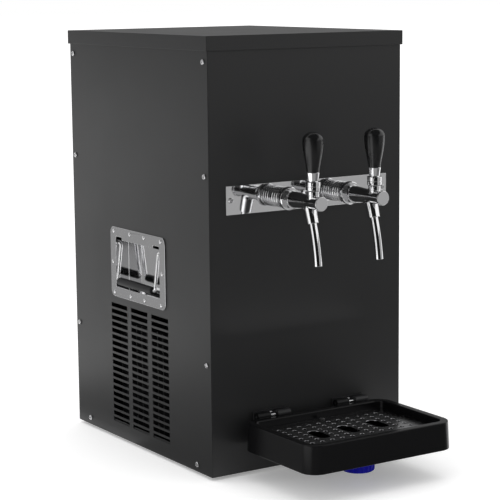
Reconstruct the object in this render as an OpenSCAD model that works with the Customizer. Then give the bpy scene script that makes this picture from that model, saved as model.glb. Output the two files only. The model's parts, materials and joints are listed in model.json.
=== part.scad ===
// Two-tap electric beer cooler: steel cabinet, cooling unit, taps, folding drip tray and carry handles.
// Millimetres, +Z up, the taps face -Y, the origin lies on the floor under the middle of the cabinet.

/* [Cabinet] */
// Width over the two side panels
cab_w = 332; // [316:1:400]
// Depth over the front and back panels
cab_d = 405; // [396:1:470]
// Height from the floor sheet to the top of the lid
cab_h = 620; // [610:1:700]
// Thickness of the folded steel sheet
sheet = 1.2; // [0.8:0.1:1.6]
// Width of the returns folded back from the front and back panels
return_w = 22; // [18:1:26]
// Depth of the skirt round the lid
lid_skirt = 20.6; // [14:0.1:30]
// Gap between the lid's skirt and the panels
lid_gap = 1.4; // [0.4:0.1:2]
// Height of the upturned edge of the floor sheet
pan_edge = 24; // [20:1:30]
// Height of the rubber feet
foot_h = 5; // [3:1:12]
// Radius of the rubber feet
foot_r = 16; // [10:1:20]
// Distance of each foot's centre from the cabinet's edges
foot_inset = 36; // [30:1:60]

/* [Panel screws] */
// Distance of the side screws from the cabinet's front and back
screw_edge = 10.5; // [8:0.5:13]
// Height of the lower side screws above the floor sheet
screw_low = 160.7; // [150:0.1:170]
// Height of the middle side screws above the floor sheet
screw_mid = 427; // [400:1:450]
// Height of the upper side screws above the floor sheet
screw_high = 584.5; // [560:0.5:585]
// Height of the screws into the floor sheet's upturned edge
pan_screw_z = 11; // [8:0.5:15]
// Distance of those screws from the cabinet's front and back
pan_screw_edge = 40; // [34:1:60]
// Radius of a screw's head
screw_head_r = 4; // [3:0.1:5]
// Radius of a screw's thread
screw_r = 2; // [1.5:0.1:2.5]
// Length of a screw's thread
screw_l = 8; // [5:0.5:10]

/* [Side vents] */
// Length of one slot
slot_l = 49; // [30:1:54]
// Height of one slot
slot_h = 6.2; // [3:0.1:7.5]
// Distance between the columns of slots
slot_col = 61; // [58:1:66]
// Distance between the rows of slots
slot_row = 10; // [9:0.1:10.2]
// Number of columns of slots
slot_cols = 3; // [1:1:3]
// Number of rows of slots
slot_rows = 19; // [4:1:19]
// Height of the lowest slot's underside above the floor sheet
slot_z = 23; // [20:1:26]

/* [Carry handles] */
// Width of a handle's plate
dish_w = 163; // [150:1:180]
// Height of a handle's plate
dish_h = 107; // [100:1:107]
// Height of a handle plate's middle above the floor sheet
dish_z = 274.5; // [272:0.5:300]
// Thickness of the pressed dish
dish_t = 1.5; // [1:0.1:2]
// Width of the pocket in the dish
pocket_w = 131; // [124:1:136]
// Height of the pocket in the dish
pocket_h = 73; // [70:1:78]
// Depth of the pocket below the plate's face
pocket_d = 22; // [20:0.5:26]
// Height of the pocket's top above the plate's middle
pocket_up = 35; // [34:0.5:36]
// Radius of the plate's corners
dish_corner = 10; // [4:1:14]
// Radius of the bent steel rod
bail_r = 2.5; // [2.2:0.1:3]
// Distance between the rod's two arms
bail_w = 112; // [100:1:114]
// Length of the arms from the pivot to the grip
bail_l = 57; // [46:0.5:58]
// Radius of the rod's bends, along its middle
bail_bend = 5; // [4:0.5:7]
// Radius of the black grip
grip_r = 6; // [5:0.1:8]
// Depth of the pivot below the plate's face
pivot_depth = 4.6; // [4.6:0.1:9]
// Height of the pivot above the plate's middle
pivot_up = 29; // [27:0.5:30]
// Angle by which a handle stands out of its pocket at rest, in degrees
bail_lean = 7; // [0:0.5:10]
// Radius of a rivet's head
rivet_r = 3.2; // [2:0.1:4]
// Distance of the rivet rows from the plate's top and bottom
rivet_edge = 6.5; // [5:0.5:8]
// Distance of the corner rivets from the plate's ends
rivet_in = 11.5; // [10:0.5:14]
// Distance of the inner rivets from the plate's middle
rivet_inner = 21; // [15:1:40]
// Width of the notch above each arm
notch_w = 18; // [10:1:18]
// Height of the notch above each arm
notch_up = 4; // [2:0.5:5]

/* [Taps] */
// Distance between the two taps
tap_gap = 105; // [90:1:125]
// Height of the taps' axis above the floor sheet
tap_z = 392.5; // [380:0.5:410]
// Width of the polished plate behind the taps
plate_w = 278; // [240:1:300]
// Height of the polished plate
plate_h = 40.5; // [36:0.5:60]
// Thickness of the polished plate
plate_t = 2; // [1:0.1:4]
// Distance of the plate's screws from its ends
plate_screw_edge = 7.7; // [6:0.1:12]
// Radius of the threaded shank
shank_r = 8; // [7:0.1:9]
// Radius of the beer's way through the shank
shank_bore = 4.5; // [3:0.1:5]
// Length of the shank inside the cabinet
shank_tail = 42; // [30:1:48]
// Radius of the ribbed collar
collar_r = 15; // [12:0.1:16]
// Length of the ribbed collar
collar_l = 22; // [16:0.5:28]
// Radius of the coupling ring
ring_r = 16.5; // [14:0.1:20]
// Length of the coupling ring
ring_l = 10; // [8:0.5:14]
// Width across the flats of the tap's hexagon
hex_af = 24; // [22:0.5:26]
// Length of the tap's hexagon
hex_l = 7; // [5:0.5:10]
// Length of the tap's cone
cone_l = 38; // [30:0.5:44]
// Length of the tap's barrel
barrel_l = 25; // [25:0.5:32]
// Radius of the tap's barrel
barrel_r = 9.2; // [9:0.1:10]
// Radius of the piston's bore
piston_bore = 6.5; // [6.2:0.05:6.7]
// Radius of the front cap
cap_r = 10.2; // [9.6:0.1:12]
// Thickness of the front cap
cap_l = 5; // [3:0.5:8]
// Distance of the lever behind the barrel's front
lever_back = 16; // [15:0.5:17]
// Distance of the spout behind the lever
spout_back = 10.5; // [9:0.5:12]
// Radius of the lever's ball
ball_r = 6.4; // [6:0.1:7]
// Radius of the bonnet nut and the lever's ring
bonnet_r = 8.75; // [8.6:0.05:9]
// Radius of the top of the cone under the knob
ferrule_r = 8; // [6:0.1:9]
// Length of the cone under the knob
ferrule_l = 13; // [10:0.5:18]
// Length of the black knob
knob_l = 55; // [45:1:70]
// Largest radius of the black knob
knob_r = 14.5; // [11:0.1:17]
// Length of the spout's sleeve
sleeve_l = 31; // [26:0.5:36]
// Radius of the spout's sleeve
sleeve_r = 7.8; // [7:0.1:8.4]
// Length of the spout's bent tube
spout_l = 59; // [40:1:64]
// Radius of the spout's tube
spout_r = 5.7; // [5:0.1:6.5]
// Wall of the spout's tube
spout_wall = 1.2; // [0.8:0.1:1.6]
// Forward lean of the sleeve, in degrees
sleeve_lean = 18; // [12:1:20]
// Lean that the tube has lost at its mouth, in degrees
spout_bend = 12; // [6:1:14]

/* [Drip tray] */
// Width of the tray at its foot
tray_w = 250; // [220:1:300]
// Depth of the tray at its foot
tray_d = 172; // [150:1:180]
// Height of the tray
tray_h = 40; // [36:0.5:44]
// Height of the tray's foot above the floor sheet
tray_z = 39; // [34:0.5:44]
// Amount by which each wall leans in towards the rim
tray_draft = 1.4; // [1:0.1:4]
// Radius of the tray's corners
tray_corner = 23; // [15:1:28]
// Width of the rim
rim_w = 12; // [11:0.5:14]
// Wall of the moulding
tray_wall = 3; // [2:0.1:3.5]
// Distance from the front panel to the tray's back
tray_gap = 11.5; // [11:0.1:14]
// Depth of the grate below the rim
grate_drop = 11; // [8:0.5:14]
// Width of the ledge that carries the grate
ledge = 5; // [3:0.5:6]
// Height of the basin's floor above the tray's foot
floor_up = 8; // [6:0.5:10]
// Thickness of the basin's floor
floor_t = 3; // [2:0.1:3.5]
// Thickness of the grate
grate_t = 2; // [1:0.1:3]
// Radius of the grate's small holes
hole_r = 3.3; // [2:0.1:4]
// Distance between the grate's small holes, across the tray
hole_pitch = 17; // [11:0.5:20]
// Distance between the rows of small holes
row_pitch = 13.5; // [11:0.5:16]
// Least distance of the small holes from the grate's edges
hole_margin = 22; // [16:1:26]
// Length of the grate's oval holes
oval_l = 41; // [30:1:60]
// Width of the grate's oval holes
oval_w = 19; // [12:1:22]
// Distance between the oval holes
oval_gap = 51; // [40:1:60]
// Distance of the grate's screw from the opening's back
grate_screw_in = 9; // [8:0.5:11]
// Distance from the front panel to the drain
drain_y = 120; // [110:1:124]
// Radius of the drain's bore
drain_bore = 7; // [5:0.1:8]
// Radius of the blue drain nut
drain_nut_r = 22.4; // [18:0.1:25]
// Height of the blue drain nut
drain_nut_h = 30; // [20:0.5:32]

/* [Tray hinges] */
// Distance between the middles of the two hinges
hinge_gap = 138; // [120:1:150]
// Length of one hinge
hinge_l = 56; // [48:1:64]
// Radius of a hinge's barrel
knuckle_r = 6; // [5:0.1:6.5]
// Radius of a hinge's pin
pin_r = 2; // [1.5:0.1:2.5]
// Distance from the front panel to the hinge's axis
hinge_out = 9.4; // [8.7:0.1:10]
// Height of the hinge's axis above the rim
hinge_up = 1.5; // [0.5:0.1:5.2]
// Thickness of the hinge's plate on the panel
leaf_t = 2.5; // [1.5:0.1:2.8]
// Free length in the middle of a hinge, where its screw shows
hinge_free = 12; // [10:0.5:16]
// Radius of the rubber bumpers behind the tray
bumper_r = 6; // [4:0.5:8]
// Distance between the rubber bumpers
bumper_gap = 180; // [160:1:190]

/* [Cooling unit] */
// Height of the shelf's underside above the floor sheet
shelf_z = 214; // [213:1:216]
// Width of the insulated box
box_w = 256; // [240:1:260]
// Depth of the insulated box
box_d = 300; // [290:1:306]
// Height of the insulated box without its cover
box_h = 300; // [290:1:310]
// Wall of the insulated box
box_wall = 45; // [40:1:46]
// Gap behind the insulated box
box_back = 42; // [38:1:46]
// Thickness of the insulated box's cover
cover_t = 40; // [30:1:45]
// Radius of the cold aluminium block
block_r = 68; // [60:1:70]
// Height of the cold aluminium block
block_h = 225; // [220:1:235]
// Radius of the copper evaporator tube
evap_r = 4; // [3:0.5:5]
// Number of turns of the evaporator tube
evap_turns = 5; // [2:1:5]
// Distance between the evaporator's turns
evap_pitch = 18; // [14:1:20]
// Height of the evaporator's first turn above the box's floor
evap_up = 18; // [16:1:24]
// Radius of the refrigerant pipes
pipe_r = 4; // [3:0.1:4.4]
// Distance of the refrigerant pipes from the middle
pipe_x = 40; // [36:1:44]
// Radius of the beer lines
line_r = 4.75; // [4:0.05:5]
// Wall of the beer lines
line_wall = 1.2; // [0.8:0.1:1.6]
// Radius of the compressor's shell
comp_r = 60; // [50:1:64]
// Height of the compressor's shell
comp_h = 150; // [120:1:160]
// Distance of the compressor to the right of the middle
comp_x = 62; // [58:1:66]
// Distance of the compressor behind the middle
comp_y = 78; // [72:1:84]
// Height of the compressor's rubber mounts
mount_h = 14; // [8:1:18]
// Thickness of the condenser
cond_t = 40; // [30:1:44]
// Width of the condenser
cond_w = 176; // [160:1:190]
// Height of the condenser
cond_h = 178; // [160:1:180]
// Number of the condenser's fins
fin_n = 12; // [6:1:16]
// Gap between the condenser and the side vents
cond_gap = 16; // [12:1:20]
// Radius of the fan's blades
fan_r = 66; // [50:1:72]
// Number of the fan's blades
blade_n = 5; // [3:1:7]
// Radius of the fan's motor
motor_r = 28; // [20:1:32]
// Length of the fan's motor
motor_l = 44; // [36:1:48]
// Gap between the shroud and the fan's hub
hub_gap = 8; // [5:0.5:12]
// Radius of the fan's shaft
shaft_r = 3; // [2:0.5:4]

/* [Back fittings] */
// Height of the beer inlets above the floor sheet
inlet_z = 412; // [408:1:416]
// Radius of the inlets' bore, for a pushed-in beer hose
inlet_bore = 4.8; // [4:0.05:5.2]
// Depth of the inlets' bore
inlet_depth = 18; // [14:0.5:22]
// Height of the thermostat above the floor sheet
stat_z = 520; // [500:1:540]
// Distance of the thermostat's middle from the cabinet's side
stat_edge = 70; // [62:1:78]
// Radius of the thermostat's knob
stat_r = 16; // [12:0.5:20]
// Height of the mains inlet above the floor sheet
mains_z = 92; // [70:1:120]
// Distance of the mains inlet's middle from the cabinet's side
mains_edge = 70; // [56:1:106]

/* [Clearances] */
// Gap round a screw, shank or tube in its hole
hole_gap = 0.1; // [0.05:0.01:0.2]
// Running gap of a pin or a piston
run_gap = 0.06; // [0.02:0.01:0.1]
// Gap between faces that move past each other
move_gap = 0.4; // [0.3:0.05:0.6]
// Gap between the lever's ball and the piston under it
ball_lift = 0.1; // [0.05:0.05:0.3]

/* [Hidden] */
$fn = 48;
eps = 1;

x_side = cab_w / 2;
y_front = -cab_d / 2;
y_back = cab_d / 2;
z_floor = foot_h;
z_pan = z_floor + sheet;
z_top = z_floor + cab_h;
z_under = z_top - sheet;
panel_h = z_under - z_pan;
x_in = x_side - sheet;
y_in = y_back - sheet;

// The handles' plate, pocket and pivot, measured from the left side panel
dish_mid = z_floor + dish_z;
pocket_low = pocket_up - pocket_h;
pivot_x = x_side + dish_t - pivot_depth;
pivot_z = dish_mid + pivot_up;
rivet_row = dish_h / 2 - rivet_edge;
rivet_ys = [dish_w / 2 - rivet_in, rivet_inner];
rivet_mid = (dish_w + pocket_w) / 4;
pocket_fit = 1;

// Distances of the tap's pieces from the front panel's face
tap_height = z_floor + tap_z;
d_collar = plate_t;
d_ring = d_collar + collar_l;
d_hex = d_ring + ring_l;
d_cone = d_hex + hex_l;
d_barrel = d_cone + cone_l;
d_cap = d_barrel + barrel_l;
d_lever = d_cap - lever_back;
d_spout = d_lever - spout_back;
ring_neck = 3;
ring_bevel = 1.2;
nut_t = 8;
nut_af = 24;
spigot_l = 1.8;
sleeve_taper = 0.4;
cone_step = 0.5;
boss_step = 0.4;
ring_waist = 3;
seal_at = 5;
seal_w = 3;
seal_d = 2;
waist_at = 11.5;
waist_w = 7;
waist_d = 1.5;
edge = 0.8;
ball_up = piston_bore + ball_r + ball_lift;
boss_top = ball_up - 2.5;
ball_gap = 0.25;
bonnet_top = ball_up + 3;
lever_ring = ball_up + 9;
ferrule_z = lever_ring + 7;
knob_z = ferrule_z + ferrule_l;
finger_r = 2.2;
neck_r = 3.4;
piston_back = 24;
piston_front = 9.6;
saddle = finger_r + 0.7;
saddle_front = 3.4;
saddle_back = 1.8;

// The tray, its grate and its hinge axis
tray_low = z_floor + tray_z;
rim_z = tray_low + tray_h;
tray_back = y_front - tray_gap;
tray_mid = tray_back - tray_d / 2;
rim_round = 1.5;
slice_t = 0.01;
basin_floor = tray_low + floor_up;
grate_top = rim_z - grate_drop;
grate_low = grate_top - grate_t;
opening_w = tray_w - 2 * tray_draft - 2 * rim_w;
opening_d = tray_d - 2 * tray_draft - 2 * rim_w;
opening_corner = tray_corner - rim_w;
grate_w = opening_w - 2 * move_gap;
grate_d = opening_d - 2 * move_gap;
drain_pos = y_front - drain_y;
drain_flange = 18;
flange_t = 2;
drain_recess = 3;
drain_wall = 3;
web_t = 4;
hinge_y = y_front - hinge_out;
hinge_z = rim_z + hinge_up;
hinge_half = hinge_l / 2;
knuckle_l = hinge_half - hinge_free / 2;
grate_screw_y = opening_d / 2 - grate_screw_in;
grate_screw_l = 14;
post_r = 5;

// The cooling unit
shelf_low = z_floor + shelf_z;
shelf_top = shelf_low + sheet;
box_y = y_in - box_d / 2 - box_back;
cavity_floor = shelf_top + box_wall;
evap_sides = 6;
evap_steps = 24;
evap_ring = (block_r + evap_r + move_gap) / cos(180 / evap_steps);
evap_z = cavity_floor + evap_up;
inlet_height = z_floor + inlet_z;
line_in = 12;
line_stop = sqrt(block_r * block_r - tap_gap * tap_gap / 4) - line_in;
cond_x = -x_in + cond_gap + cond_t / 2;
cond_low = z_pan;
fan_z = cond_low + cond_h / 2;
shroud_x = cond_x + cond_t / 2;
shroud_hole = fan_r + 5;
hub_r = 17;
hub_l = 18;
motor_gap = 4;
motor_nose = 2;
blade_w = 44;
blade_t = 1.6;
blade_tilt = 28;
blade_root = 3;
hub_x = shroud_x + sheet + hub_gap;
motor_x = hub_x + hub_l + motor_gap;
strap_w = 20;
strap_t = 2;
comp_plate = 3;
comp_low = z_pan + mount_h + comp_plate;
mount_x = 70;
mount_y = 46;
mount_rad = 11;
plate_margin = 13;
stud_r = 4;
stud_up = 4;
stat_x = x_side - stat_edge;
stat_height = z_floor + stat_z;
mains_x = x_side - mains_edge;
mains_height = z_floor + mains_z;
mains_w = 48;
mains_h = 60;
rocker_tilt = 8;
knob_stand = 0.8;

black_paint = [0.13, 0.13, 0.14];
steel = [0.72, 0.73, 0.75];
chrome = [0.85, 0.86, 0.88];
plastic = [0.07, 0.07, 0.08];

// Shared shapes

module rounded_plate(w, h, r) {
    square([w - 2 * r, h], center = true);
    square([w, h - 2 * r], center = true);
    for (x = [-1, 1], y = [-1, 1])
        translate([x * (w / 2 - r), y * (h / 2 - r)]) circle(r);
}

// Lays a shape that is drawn across XY and stands along +Z against the front, standing along -Y
module forward() {
    rotate([90, 0, 0]) children();
}

// Lays a shape that stands along +Z so that it stands along +Y, out of the back
module backward() {
    rotate([-90, 0, 0]) children();
}

// Puts a shape drawn at one tap's axis on the front panel at that tap
module at_tap(side) {
    translate([side * tap_gap / 2, y_front, tap_height]) children();
}

module at_taps() {
    for (side = [-1, 1]) at_tap(side) children();
}

// A pan-head screw along +Z with its head above the XY plane
module screw(head_r, r, l) {
    rotate_extrude()
        polygon([[0, -l], [r, -l], [r, 0], [head_r, 0], [head_r, head_r * 0.2],
            [head_r * 0.72, head_r * 0.5], [0, head_r * 0.56]]);
}

function unit(v) = v / norm(v);

// A round bar along a list of points, with an arc of the given radius at each square corner
module bent_bar(points, r, bend) {
    last = len(points) - 1;
    for (i = [0 : last - 1]) {
        dir = unit(points[i + 1] - points[i]);
        start = points[i] + (i > 0 ? bend : 0) * dir;
        end = points[i + 1] - (i < last - 1 ? bend : 0) * dir;
        translate(start) rotate([0, acos(dir[2]), atan2(dir[1], dir[0])])
            cylinder(r = r, h = norm(end - start));
    }
    for (i = [1 : 1 : last - 1]) {
        u = unit(points[i] - points[i - 1]);
        v = unit(points[i + 1] - points[i]);
        w = cross(u, v);
        c = points[i] + bend * (v - u);
        multmatrix([for (k = [0 : 2]) [-v[k], u[k], w[k], c[k]]])
            rotate_extrude(angle = 90) translate([bend, 0]) circle(r);
    }
}

// Cabinet

// The places of the side panels' screws, as [y, z]
side_screws = concat(
    [for (s = [-1, 1], z = [screw_low, screw_mid, screw_high]) [s * (y_back - screw_edge), z_floor + z]],
    [for (s = [-1, 1]) [s * (y_back - pan_screw_edge), z_floor + pan_screw_z]]);

lid_screw_x = x_side * 0.6;
lid_screw_z = z_top - lid_skirt / 2;

// A screw hole through the side panels and what they are screwed to
module side_screw_holes() {
    for (p = side_screws) translate([-x_side - eps, p[0], p[1]]) rotate([0, 90, 0])
        cylinder(r = screw_r + hole_gap, h = cab_w + 2 * eps);
}

module base_pan() color(black_paint) difference() {
    union() {
        translate([-x_side, y_front, z_floor]) cube([cab_w, cab_d, sheet]);
        for (s = [-1, 1]) translate([s * (x_in - sheet / 2), 0, z_pan + pan_edge / 2])
            cube([sheet, cab_d - 2 * (sheet + return_w) - 2 * eps, pan_edge], center = true);
    }
    side_screw_holes();
}

// A face sheet with a return folded back along each side
module folded_panel(y, inward) {
    translate([-x_in, min(y, y + inward * sheet), z_pan]) cube([2 * x_in, sheet, panel_h]);
    for (s = [-1, 1]) translate([s * (x_in - sheet / 2), y + inward * return_w / 2, z_pan + panel_h / 2])
        cube([sheet, return_w, panel_h], center = true);
}

plate_screw_x = plate_w / 2 - plate_screw_edge;

module front_panel() color(black_paint) difference() {
    folded_panel(y_front, 1);
    side_screw_holes();
    at_taps() forward() translate([0, 0, -sheet - eps])
        cylinder(r = shank_r + hole_gap, h = sheet + 2 * eps);
    front_screw_places() forward() translate([0, 0, -sheet - eps])
        cylinder(r = screw_r + hole_gap, h = sheet + 2 * eps);
}

// The screws of the tap plate and of the two hinges, on the front panel's face
module front_screw_places() {
    for (s = [-1, 1]) {
        translate([s * plate_screw_x, y_front, tap_height]) children();
        translate([s * hinge_gap / 2, y_front, hinge_z]) children();
    }
}

module back_panel() color(black_paint) difference() {
    folded_panel(y_back, -1);
    side_screw_holes();
    for (s = [-1, 1]) {
        translate([s * tap_gap / 2, y_in - eps, inlet_height]) backward()
            cylinder(r = inlet_thread + hole_gap, h = sheet + 2 * eps);
        translate([s * lid_screw_x, y_in - eps, lid_screw_z]) backward()
            cylinder(r = screw_r + hole_gap, h = sheet + 2 * eps);
    }
    translate([stat_x, y_in - eps, stat_height]) backward()
        cylinder(r = stat_neck + hole_gap, h = sheet + 2 * eps);
    translate([-mains_x, y_in + sheet / 2, mains_height])
        cube([mains_w - 2 * (mains_lip - hole_gap), sheet + 2 * eps, mains_h - 2 * (mains_lip - hole_gap)],
            center = true);
}

// The left side panel, drawn flat across Y and Z
module side_sheet() {
    difference() {
        translate([y_front, z_pan]) square([cab_d, panel_h]);
        for (c = [0 : slot_cols - 1], r = [0 : slot_rows - 1])
            translate([(c - (slot_cols - 1) / 2) * slot_col - slot_l / 2, z_floor + slot_z + r * slot_row])
                square([slot_l, slot_h]);
        translate([-pocket_w / 2 - dish_t - pocket_fit, dish_mid + pocket_low - dish_t - pocket_fit])
            square([pocket_w + 2 * (dish_t + pocket_fit), pocket_h + 2 * (dish_t + pocket_fit) + notch_up]);
        for (p = side_screws) translate(p) circle(screw_r + hole_gap);
        for (p = rivet_places) translate(p) circle(rivet_shank + hole_gap);
    }
}

module side_panel(side) {
    translate([side < 0 ? -x_side : x_in, 0, 0]) rotate([90, 0, 90]) linear_extrude(sheet) side_sheet();
}

module left_side_panel() color(black_paint) side_panel(-1);

module right_side_panel() color(black_paint) side_panel(1);

module lid() color(black_paint) difference() {
    lid_over = lid_gap + sheet;
    translate([-x_side - lid_over, y_front - lid_over, z_top - lid_skirt])
        cube([cab_w + 2 * lid_over, cab_d + 2 * lid_over, lid_skirt]);
    translate([-x_side - lid_gap, y_front - lid_gap, z_top - lid_skirt - eps])
        cube([cab_w + 2 * lid_gap, cab_d + 2 * lid_gap, lid_skirt - sheet + eps]);
    for (s = [-1, 1]) translate([s * lid_screw_x, y_back + lid_gap - eps, lid_screw_z]) backward()
        cylinder(r = screw_r + hole_gap, h = sheet + 2 * eps);
}

module rubber_feet() color(plastic) for (x = [-1, 1], y = [-1, 1])
    translate([x * (x_side - foot_inset), y * (y_back - foot_inset), 0])
        cylinder(r1 = foot_r - 2, r2 = foot_r, h = foot_h);

module panel_screws() color(steel) {
    for (p = side_screws) {
        translate([-x_side, p[0], p[1]]) rotate([0, -90, 0]) screw(screw_head_r, screw_r, screw_l);
        translate([x_side, p[0], p[1]]) rotate([0, 90, 0]) screw(screw_head_r, screw_r, screw_l);
    }
    for (s = [-1, 1]) translate([s * lid_screw_x, y_back + lid_gap + sheet, lid_screw_z]) backward()
        screw(screw_head_r, screw_r, screw_l);
}

// Cooling unit

pipe_y = box_y + evap_ring;
shelf_edge = 14;

module shelf() color(steel) difference() {
    union() {
        translate([-x_in + sheet, -y_in, shelf_low]) cube([2 * (x_in - sheet), 2 * y_in, sheet]);
        for (s = [-1, 1]) translate([0, s * (y_in - sheet / 2), shelf_low - shelf_edge / 2])
            cube([2 * (x_in - sheet), sheet, shelf_edge], center = true);
    }
    refrigerant_holes();
}

// The ways of the two refrigerant pipes through the shelf and the box's floor
module refrigerant_holes() {
    for (s = [-1, 1]) translate([s * pipe_x, pipe_y, shelf_low - eps])
        cylinder(r = pipe_r + hole_gap, h = box_wall + 2 * sheet + 2 * eps);
}

module insulated_box() color([0.9, 0.88, 0.78]) difference() {
    translate([-box_w / 2, box_y - box_d / 2, shelf_top]) cube([box_w, box_d, box_h]);
    translate([-box_w / 2 + box_wall, box_y - box_d / 2 + box_wall, cavity_floor])
        cube([box_w - 2 * box_wall, box_d - 2 * box_wall, box_h]);
    refrigerant_holes();
    for (s = [-1, 1]) {
        translate([s * tap_gap / 2, box_y, tap_height]) forward()
            cylinder(r = line_r + hole_gap, h = box_d);
        translate([s * tap_gap / 2, box_y, inlet_height]) backward()
            cylinder(r = line_r + hole_gap, h = box_d);
        at_tap(s) backward() cylinder(r = shank_r + hole_gap, h = shank_tail + hole_gap);
        on_side(s) handle_room();
    }
}

module insulated_cover() color([0.9, 0.88, 0.78])
    translate([-box_w / 2, box_y - box_d / 2, shelf_top + box_h]) cube([box_w, box_d, cover_t]);

module cold_block() color(steel) difference() {
    translate([0, box_y, cavity_floor]) cylinder(r = block_r, h = block_h);
    for (s = [-1, 1]) {
        translate([s * tap_gap / 2, box_y - line_stop, tap_height]) forward()
            cylinder(r = line_r + hole_gap, h = block_r);
        translate([s * tap_gap / 2, box_y + line_stop, inlet_height]) backward()
            cylinder(r = line_r + hole_gap, h = block_r);
    }
}

// The points of one ring of the evaporator's tube, at an angle along its helix
function evap_point(a, k) =
    let (rad = evap_ring + evap_r * cos(k * 360 / evap_sides))
    [rad * cos(a), rad * sin(a), evap_pitch * a / 360 + evap_r * sin(k * 360 / evap_sides)];

module evaporator_coil() color([0.72, 0.45, 0.25]) {
    n = evap_turns * evap_steps;
    points = [for (i = [0 : n], k = [0 : evap_sides - 1]) evap_point(i * 360 / evap_steps, k)];
    sides = [for (i = [0 : n - 1], k = [0 : evap_sides - 1])
        let (a = i * evap_sides + k, b = i * evap_sides + (k + 1) % evap_sides)
        each [[a, b, b + evap_sides], [a, b + evap_sides, a + evap_sides]]];
    start = [for (k = [1 : evap_sides - 2]) [0, k + 1, k]];
    last = n * evap_sides;
    end = [for (k = [1 : evap_sides - 2]) [last, last + k, last + k + 1]];
    translate([0, box_y, evap_z]) polyhedron(points, concat(sides, start, end));
}

// The shell's foot, flare, welded seam and domed top
comp_foot = 10;
comp_flare = 14;
comp_seam = 5;
dome_h = comp_r * 0.45;
dome_r = (comp_r * comp_r + dome_h * dome_h) / (2 * dome_h);
function dome_top(d) = comp_h - dome_r + sqrt(dome_r * dome_r - d * d);

module compressor() color([0.1, 0.1, 0.1]) translate([comp_x, comp_y, comp_low]) {
    foot_rad = comp_r * 0.86;
    straight = comp_foot + comp_flare;
    cylinder(r = foot_rad, h = comp_foot);
    translate([0, 0, comp_foot]) cylinder(r1 = foot_rad, r2 = comp_r, h = comp_flare);
    translate([0, 0, straight]) cylinder(r = comp_r, h = comp_h - straight - dome_h);
    translate([0, 0, comp_h / 2]) cylinder(r = comp_r + 3, h = comp_seam);
    intersection() {
        translate([0, 0, comp_h - dome_h]) cylinder(r = comp_r, h = dome_h);
        translate([0, 0, comp_h - dome_r]) sphere(dome_r);
    }
    difference() {
        translate([0, 0, -comp_plate / 2])
            cube([2 * (mount_x + plate_margin), 2 * (mount_y + plate_margin), comp_plate], center = true);
        for (x = [-1, 1], y = [-1, 1]) translate([x * mount_x, y * mount_y, -comp_plate - eps])
            cylinder(r = stud_r + hole_gap, h = comp_plate + 2 * eps);
    }
}

module compressor_mounts() color(plastic) for (x = [-1, 1], y = [-1, 1])
    translate([comp_x + x * mount_x, comp_y + y * mount_y, z_pan]) {
        cylinder(r1 = mount_rad, r2 = mount_rad - 2, h = mount_h);
        cylinder(r = stud_r, h = mount_h + comp_plate + stud_up);
    }

cond_tubes = [for (c = [-1, 1], r = [-2 : 2]) [c * cond_t / 4, r * cond_h / 6 + cond_h / 2]];
tube_out = 8;
drier_r = 9;
drier_l = 50;
drier_up = 20;
pipe_up = 5;
pipe_bend = 2 * pipe_r;
fin_t = 1;
end_fin_t = 2;

module condenser() color(plastic) translate([cond_x, 0, cond_low]) {
    for (i = [0 : fin_n - 1]) translate([0, (i / (fin_n - 1) - 0.5) * (cond_w - end_fin_t), cond_h / 2])
        cube([cond_t, i == 0 || i == fin_n - 1 ? end_fin_t : fin_t, cond_h], center = true);
    for (p = cond_tubes) translate([p[0], -cond_w / 2 - tube_out, p[1]]) backward()
        cylinder(r = pipe_r, h = cond_w + 2 * tube_out);
}

module fan_shroud() color(plastic) {
    difference() {
        translate([shroud_x + sheet / 2, 0, fan_z]) cube([sheet, cond_w, cond_h], center = true);
        translate([shroud_x - eps, 0, fan_z]) rotate([0, 90, 0])
            cylinder(r = shroud_hole, h = sheet + 2 * eps);
    }
    reach = shroud_hole + 4;
    for (s = [-1, 1]) translate([shroud_x + sheet, -strap_w / 2, fan_z + s * reach - strap_t / 2])
        cube([motor_x + motor_l + strap_t - shroud_x - sheet, strap_w, strap_t]);
    translate([motor_x + motor_l, -strap_w / 2, fan_z - reach]) cube([strap_t, strap_w, 2 * reach]);
}

module fan_motor() color(steel) difference() {
    translate([motor_x, 0, fan_z]) rotate([0, 90, 0]) {
        cylinder(r = motor_r, h = motor_l);
        translate([0, 0, -motor_nose]) cylinder(r = motor_r * 0.4, h = motor_nose + eps);
    }
    translate([motor_x - motor_nose - eps, 0, fan_z]) rotate([0, 90, 0])
        cylinder(r = shaft_r + run_gap, h = motor_nose + motor_l * 0.8 + eps);
}

module fan_blades() color(plastic) translate([hub_x, 0, fan_z]) rotate([0, 90, 0]) {
    cylinder(r = hub_r, h = hub_l);
    cylinder(r = shaft_r, h = motor_x - hub_x + motor_l * 0.7);
    intersection() {
        for (i = [0 : blade_n - 1]) rotate(i * 360 / blade_n) translate([0, 0, hub_l / 2])
            rotate([blade_tilt, 0, 0]) translate([hub_r - blade_root, -blade_w / 2, -blade_t / 2])
                cube([fan_r, blade_w, blade_t]);
        cylinder(r = fan_r, h = hub_l);
    }
}

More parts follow.
